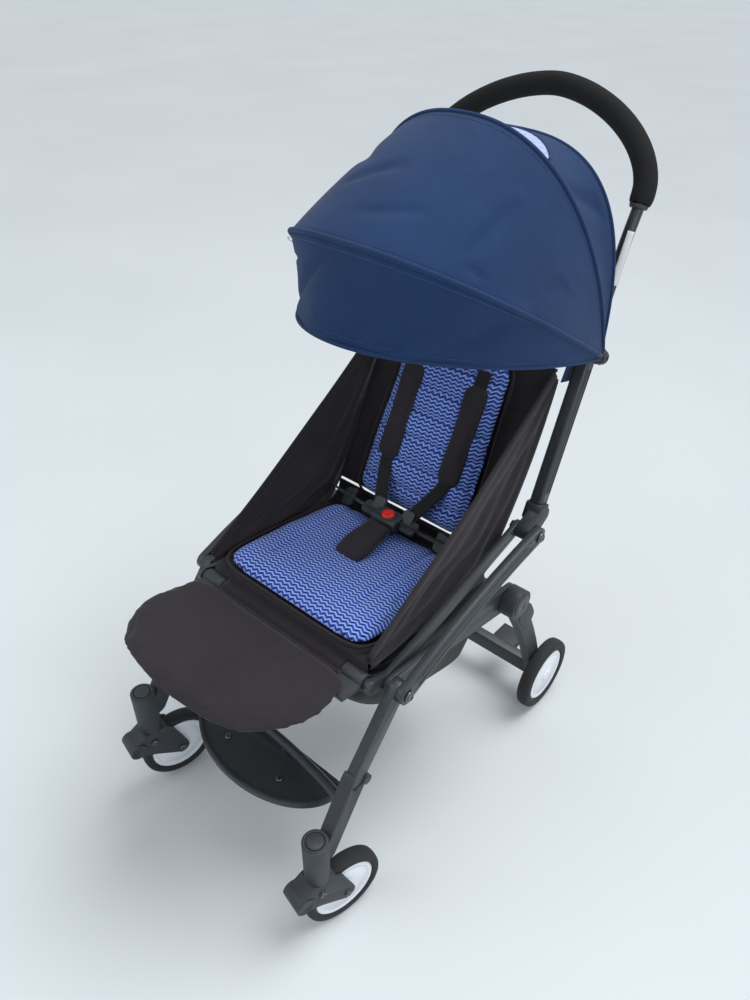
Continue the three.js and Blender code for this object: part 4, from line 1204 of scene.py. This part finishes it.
def make_buckle_details():
    low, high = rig.box("buckle_button")
    centre = Vector(((low[0] + high[0]) / 2, (low[1] + high[1]) / 2, high[2]))
    radius = (high[0] - low[0]) / 2
    dome = [(0.0001, -0.004), (radius, -0.004), (radius, -0.0012), (radius - 0.0010, 0.0002),
            (radius * 0.7, 0.0010),
            (radius * 0.35, 0.0005), (0.0001, 0.0002)]
    dress(lathe("buckle_button_cap", dome, centre, (0, 0, 1), 64), "red_plastic", "buckle_press")
    collar = [(radius + 0.0009, -0.004), (radius + 0.0036, -0.004), (radius + 0.0036, -0.0025),
              (radius + 0.0022, -0.0012), (radius + 0.0009, -0.0018)]
    dress(lathe("buckle_collar", collar, centre, (0, 0, 1), 64), "dark_plastic", "chassis")


# ---------------------------------------------------------------- basket

def make_basket():
    low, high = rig.box("basket")
    half = high[0] - 0.002
    middle_y, length = (low[1] + high[1]) / 2 - 0.030, (high[1] - low[1]) / 2 + 0.004
    rim_z, floor_z = high[2] - 0.004, low[2] + 0.006

    def point(u, v):
        turn = 2 * math.pi * u
        cos, sin = math.cos(turn), math.sin(turn)
        square = 0.42
        x = math.copysign(abs(cos) ** square, cos)
        y = math.copysign(abs(sin) ** square, sin)
        drop = min(v / 0.55, 1.0)
        inward = max((v - 0.55) / 0.45, 0.0)
        shrink = (1 - 0.10 * drop ** 1.5) * (1 - inward ** 1.3 * 0.985)
        belly = 0.008 * math.sin(math.pi * drop) * (1 - inward)
        base = floor_z - 0.004 - 0.27 * y * length * (1 - inward)
        z = rim_z + (base - rim_z) * drop ** 0.9 - 0.004 * math.sin(math.pi * inward)
        z += 0.006 * (1 - drop) * math.cos(2 * turn)
        fold = 0.0025 * math.sin(14 * turn + 5 * v) * math.sin(math.pi * drop) * (1 - inward)
        return Vector((x * (half * shrink + (belly + fold) * 0.3), middle_y
                       + y * (length * shrink + belly + fold), z))

    basket = sheet_mesh("basket_cloth", point, 40, 120, 0.0014)
    weld = basket.modifiers.new("weld", "WELD")
    weld.merge_threshold = 2e-5
    apply_modifiers(basket)
    dress(basket, "black_cloth", "chassis", replaces=["basket"])
    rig.sheet(basket, flat=(0.62, 0.62), area=0.250, held="hung",
             rests_on=["hub_bar_left", "hub_bar_right", "hub_cross_tube"])
    crumple(basket, rim_z, 0.35)
    rim = [point(k / 120, 0.0) for k in range(120)]
    binding = sweep("basket_binding", rim, [(a, b * 2.2) for a, b in ring(0.0030, 12)], (0, 0, 1),
                    closed=True)
    dress(binding, "black_cloth", "chassis", WEBBING)
    for number, (x, y) in enumerate(((0.128, -0.118), (-0.128, -0.118), (0.128, 0.085), (-0.128, 0.085))):
        hanger = [(x, y, rim_z - 0.004), (x * 1.06, y * 1.02, rim_z + 0.018),
                  (x * 1.18, y * 1.0, rim_z + 0.030)]
        strap = sweep(f"basket_strap_{number + 1}", smooth_path(hanger, 16), band(0.018, 0.0018), (0, 1, 0))
        dress(strap, "black_cloth", "chassis", WEBBING)


# ---------------------------------------------------------------- handle, wheels and small hard parts

HANDLE_HALF = 0.187                                        # middle plane to the upper tube's centre line


def handle_point(x, along, off=0.0):
    return HUB + Vector((x, 0, 0)) + UP_HANDLE * along + OFF_HANDLE * off


def arch_route(from_along):
    half, shoulder, rise, squareness, foam_foot = HANDLE_HALF, 0.223, 0.126, 1.15, 0.180
    legs = [(half, from_along + (shoulder - from_along) * k / 5) for k in range(6)]
    arch = []
    for k in range(19):
        turn = math.pi * k / 18
        cos = math.cos(turn)
        arch.append((half * math.copysign(abs(cos) ** squareness, cos), shoulder
                     + rise * max(math.sin(turn), 0) ** squareness))
    route = legs + arch[1:-1] + [(-x, a) for x, a in reversed(legs)]
    return [handle_point(x, a, -0.15 * max(a - foam_foot, 0)) for x, a in route]


def make_handle():
    tube_piece = tube("handle_arch", arch_route(-0.100), 0.0084, 160, 20, side=(0, 1, 0))
    dress(tube_piece, "frame_paint", "handle_upper", replaces=["handle_arch_tube"])
    count = 180
    scale = [min(1.0, 0.90 + 0.10 * math.sqrt(min(k, count - 1 - k) / 3)) for k in range(count)]
    grip = tube("foam_sleeve", arch_route(0.212), 0.0164, count, 28, side=(0, 1, 0), scale=scale)
    dress(grip, "foam", "handle_upper", replaces=["handle_foam_grip"])
    for hand, side in SIDES:
        centre = handle_point(side * HANDLE_HALF, 0.2095, -0.0045)
        collar = [(0.0087, -0.004), (0.0120, -0.004), (0.0132, -0.001), (0.0132, 0.002), (0.0087, 0.002)]
        dress(lathe(f"foam_end_collar_{hand}", collar, centre, UP_HANDLE, 48), "dark_plastic", "handle_upper")
    label_on_tube()


def label_on_tube():
    """A plain pale sticker wrapped on the upper tube, with no lettering."""
    def point(u, v):
        turn = math.radians(42 + 75 * (u - 0.5))
        radius = 0.0087
        centre = handle_point(HANDLE_HALF, 0.100 + 0.075 * v)
        return centre + Vector((radius * math.cos(turn), 0, 0)) + OFF_HANDLE * radius * math.sin(turn)

    dress(sheet_mesh("plain_label", point, 20, 14, 0.0003), "white_plastic", "handle_upper", LABEL)


def tyre_profile(disc, radius, width):
    """A low rounded tyre: flat tread, round shoulders, straight foot on the rim."""
    half = width / 2
    points = [(disc, -half + 0.002), (disc + 0.003, -half + 0.0004), (disc + 0.005, -half)]
    for k in range(9):
        turn = math.radians(-90 + 22.5 * k)
        points.append((radius - 0.0062 + 0.0062 * math.cos(turn) ** 0.8 if abs(k - 4) < 4 else radius
                       - 0.0062,
                       half * math.copysign(abs(math.sin(turn)) ** 0.8, math.sin(turn))))
    return points + [(disc + 0.005, half), (disc + 0.003, half - 0.0004), (disc, half - 0.002)]


def wheel_profile(bore, disc, width):
    half = width / 2 - 0.001
    face = [(bore, half), (0.014, half), (0.0165, half - 0.0014), (0.020, half - 0.0018),
            (disc * 0.80, half - 0.0012),
            (disc * 0.815, half - 0.0022), (disc * 0.84, half - 0.0022), (disc * 0.855, half - 0.0010),
            (disc - 0.0020, half - 0.0010), (disc, half - 0.0026)]
    return face + [(r, -h) for r, h in reversed(face)]


def make_wheels():
    for place in ("front", "rear"):
        for hand, side in SIDES:
            body = f"{place}_wheel_{hand}"
            joint = JOINTS[f"{body}_spin"]
            low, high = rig.box(f"{place}_tyre_{hand}")
            radius = (high[2] - low[2]) / 2
            disc = 0.0515 if place == "front" else 0.0525
            width = 0.026 if place == "front" else 0.024
            tyre = lathe(f"{place}_tyre_round_{hand}", tyre_profile(disc + 0.0006, radius - 0.0001, width),
                         joint["pos_m"], joint["axis"], 120)
            dress(tyre, "tyre_rubber", body, replaces=[f"{place}_tyre_{hand}"])
            wheel = lathe(f"{place}_wheel_{hand}", wheel_profile(0.0056, disc, width), joint["pos_m"],
                          joint["axis"], 120)
            dress(wheel, "white_plastic", body, replaces=[f"{place}_wheel_disc_{hand}"])
            if place == "rear":
                centre = Vector(joint["pos_m"]) + Vector((side * 0.0105, 0, 0))
                dome = [(0.0001, 0.0), (0.0125, 0.0), (0.0125, 0.0012), (0.0110, 0.0024), (0.0060, 0.0031),
                        (0.0001, 0.0032)]
                dress(lathe(f"rear_wheel_cap_{hand}", dome, centre, (side, 0, 0), 64), "white_plastic", body)


def back_of(axle):
    """The level direction from a caster's swivel towards its wheel."""
    return Vector((-axle.y, axle.x, 0))


def screw_head(name, centre, axis, radius, body):
    """A domed screw with a six-point recess."""
    axis = Vector(axis).normalized()
    one = axis.orthogonal().normalized()
    two = axis.cross(one)
    verts, faces = [], []
    segments, rows = 36, ((1.0, 0.0), (1.0, 0.30), (0.86, 0.42), (0.56, 0.48))
    for share, height in rows:
        for k in range(segments):
            turn = 2 * math.pi * k / segments
            verts.append(Vector(centre) + (one * math.cos(turn) + two * math.sin(turn)) * radius * share
                         + axis * radius * height)
    for height in (0.48, 0.12):
        for k in range(segments):
            turn = 2 * math.pi * k / segments
            reach = radius * (0.40 + 0.06 * math.cos(6 * turn))
            verts.append(Vector(centre) + (one * math.cos(turn) + two * math.sin(turn)) * reach
                         + axis * radius * height)
    for r in range(5):
        for k in range(segments):
            m = (k + 1) % segments
            faces.append((r * segments + k, r * segments + m, (r + 1) * segments + m, (r + 1) * segments + k))
    faces.append(tuple(reversed(range(segments))))
    faces.append(tuple(5 * segments + k for k in range(segments)))
    dress(build(name, verts, faces, smooth=False), "steel", body, MATERIALS["dark_plastic"] if "cap" in name
          else None)


HOUSING_TOP = 0.2222                                       # just clear of the caster housing's round cap


def make_fasteners():
    axis_of = {hand: Vector(JOINTS[f"front_wheel_{hand}_spin"]["axis"]) for hand, _ in SIDES}
    for hand, side in SIDES:
        swivel = Vector(JOINTS[f"caster_{hand}_swivel"]["pos_m"])
        axle = Vector(JOINTS[f"front_wheel_{hand}_spin"]["pos_m"])
        back = back_of(axis_of[hand])
        for face in (1, -1):
            out = axis_of[hand] * face
            upper = Vector((swivel.x, swivel.y, 0.114)) - back * 0.004 + out * 0.0200
            lower = axle + out * 0.0200
            word = "outer" if face * side > 0 else "inner"
            screw_head(f"caster_screw_top_{word}_{hand}", upper, out, 0.0050, f"caster_{hand}")
            screw_head(f"caster_screw_axle_{word}_{hand}", lower, out, 0.0050, f"caster_{hand}")
        for face in (1, -1):
            out = axis_of[hand] * face
            barrel = Vector((swivel.x, swivel.y, 0.110)) - back_of(axis_of[hand]) * 0.033 + out * 0.0178
            dome = [(0.0001, 0.0), (0.0150, 0.0), (0.0150, 0.0018), (0.0135, 0.0030), (0.0118, 0.0030),
                    (0.0112, 0.0022), (0.0001, 0.0024)]
            word = "outer" if face * side > 0 else "inner"
            dress(lathe(f"caster_barrel_cap_{word}_{hand}", dome, barrel, out, 64), "dark_plastic",
                  f"caster_{hand}")
        groove_ring = [(0.0142, 0.0), (0.0172, 0.0), (0.0172, 0.0009), (0.0162, 0.0017), (0.0152, 0.0017),
                       (0.0142, 0.0009)]
        dress(lathe(f"caster_cap_ring_{hand}", groove_ring, (swivel.x, swivel.y, HOUSING_TOP), (0, 0, 1), 72),
              "dark_plastic", "front_legs")
        for word, pivot in (("front", FRONT_PIVOT), ("rear", FOLD_PIVOT)):
            screw_head(f"{word}_pivot_screw_{hand}", pivot + Vector((side * 0.2212, 0, 0)), (side, 0, 0),
                       0.0062, "chassis")
        hub = Vector(JOINTS["rear_legs_fold"]["pos_m"]) + Vector((side * 0.2162, 0, 0))
        cap = [(0.0001, 0.0), (0.0200, 0.0), (0.0200, 0.0012), (0.0185, 0.0024), (0.0001, 0.0030)]
        dress(lathe(f"hub_cap_{hand}", cap, hub, (side, 0, 0), 72), "frame_paint", "rear_legs")
        clip = handle_point(side * 0.2138, 0)
        screw_head(f"canopy_pivot_cap_{hand}", clip, (side, 0, 0), 0.0080, "handle")
    for number, x in enumerate((-0.060, 0.060)):
        screw_head(f"footplate_screw_{number + 1}", (x, -0.285, 0.1692), (0, 0, 1), 0.0055, "front_legs")


def arm_centre(share, lift=0.0):
    start, end = FRONT_PIVOT, FOLD_PIVOT
    along = (end - start).normalized()
    up = Vector((0, -along.z, along.y))
    control = (start + end) / 2 + up * 0.022
    point = start.lerp(control, share).lerp(control.lerp(end, share), share)
    return point + up * lift


def make_side_arm_trim():
    """A raised lengthwise rib and its shadow groove along each side arm."""
    for hand, side in SIDES:
        x = Vector((side * 0.2182, 0, 0))
        for word, lift in (("upper", 0.0085), ("lower", -0.0085)):
            line = [arm_centre(0.07 + 0.86 * k / 48, lift) + x for k in range(49)]
            dress(sweep(f"side_arm_rib_{word}_{hand}", line, ring(0.0011, 8)), "frame_paint", "chassis")
        strip = [arm_centre(0.10 + 0.80 * k / 48, 0.0) + x for k in range(49)]
        dress(sweep(f"side_arm_inlay_{hand}", strip, band(0.0105, 0.0012), (0, -0.25, 0.97)), "dark_plastic",
              "chassis")


def make_tube_grooves():
    """Ribs down both faces of each lower handle tube."""
    start = -0.224                                         # along the handle, from the canopy hinge
    for hand, side in SIDES:
        for number, off in enumerate((-0.0045, 0.0045)):
            line = [handle_point(side * 0.1982, start + 0.200 * k / 24, off) for k in range(25)]
            dress(sweep(f"handle_tube_rib_{hand}_{number + 1}", line, ring(0.0009, 8)), "frame_paint",
                  "handle")


def make_hard_parts():
    make_handle()
    make_wheels()
    make_fasteners()
    make_side_arm_trim()
    make_tube_grooves()


# ---------------------------------------------------------------- stage, camera and light

def make_camera():
    azimuth, pitch, roll = math.radians(40.6), math.radians(36.8), math.radians(0.43)
    forward = Vector((-math.sin(azimuth) * math.cos(pitch), math.cos(azimuth) * math.cos(pitch),
                      -math.sin(pitch)))
    right = forward.cross(Vector((0, 0, 1))).normalized()
    up = right.cross(forward)
    turned_right = right * math.cos(roll) + up * math.sin(roll)
    turned_up = up * math.cos(roll) - right * math.sin(roll)
    data = bpy.data.cameras.new("camera")
    data.sensor_fit = "VERTICAL"
    data.angle = math.radians(64.26)
    camera = bpy.data.objects.new("camera", data)
    axes = Matrix((turned_right, turned_up, -forward)).transposed().to_4x4()
    camera.matrix_world = Matrix.Translation((0.647, -0.746, 1.260)) @ axes
    SCENE.collection.objects.link(camera)
    SCENE.camera = camera


def make_stage():
    size = 60.0
    floor = build("floor", [(-size, -size, 0), (size, -size, 0), (size, size, 0), (-size, size, 0)],
                  [(0, 1, 2, 3)])
    material, tree, principled = shader("pale floor")
    place = tree.nodes.new("ShaderNodeTexCoord")
    patches = noise(tree, place.outputs["Object"], 1.2, 3)
    tree.links.new(mix_colour(tree, patches, (0.58, 0.62, 0.64), (0.66, 0.70, 0.72)),
                   principled.inputs["Base Color"])
    principled.inputs["Roughness"].default_value = 0.8
    floor.data.materials.append(material)
    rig.stage(floor)


def area_light(name, place, target, size, power, colour=(1, 1, 1)):
    data = bpy.data.lights.new(name, "AREA")
    data.shape = "DISK"
    data.size = size
    data.energy = power
    data.color = colour
    lamp = bpy.data.objects.new(name, data)
    lamp.location = place
    direction = Vector(target) - Vector(place)
    lamp.rotation_euler = direction.to_track_quat("-Z", "Y").to_euler()
    SCENE.collection.objects.link(lamp)


def make_lights():
    sun = bpy.data.lights.new("daylight", "SUN")
    sun.energy = 1.5
    sun.angle = math.radians(40)
    lamp = bpy.data.objects.new("daylight", sun)
    lamp.rotation_euler = (Vector((-0.25, -0.45, -1.0))).to_track_quat("-Z", "Y").to_euler()
    SCENE.collection.objects.link(lamp)
    area_light("overhead", (0.5, 0.9, 3.3), (0, 0, 0.5), 2.0, 22, (1.0, 0.99, 0.97))
    area_light("front", (-1.2, -2.2, 2.2), (0, 0, 0.5), 2.0, 16, (0.95, 0.97, 1.0))
    area_light("side", (2.6, -0.8, 1.8), (0, 0, 0.5), 1.8, 20, (0.95, 0.97, 1.0))
    world = bpy.data.worlds.new("studio")
    world.use_nodes = True
    world.node_tree.nodes["Background"].inputs[0].default_value = (0.86, 0.90, 0.95, 1)
    world.node_tree.nodes["Background"].inputs[1].default_value = 0.60
    SCENE.world = world
    SCENE.view_settings.view_transform = "Standard"


make_camera()
finish_cad_nodes()
make_canopy()
make_seat_pad()
make_back_pad()
make_leg_rest()
make_side_cloths()
make_floor_cloth()
make_back_cloth()
make_crotch_pad()
make_belts()
make_shoulder_straps()
make_buckle_details()
make_basket()
make_hard_parts()
make_stage()
make_lights()

boxes = {"cad": [list(corner) for corner in CAD_BOX], "visual": [list(corner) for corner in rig.bounds()]}
with open("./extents.json", "w") as out:
    json.dump(boxes, out)
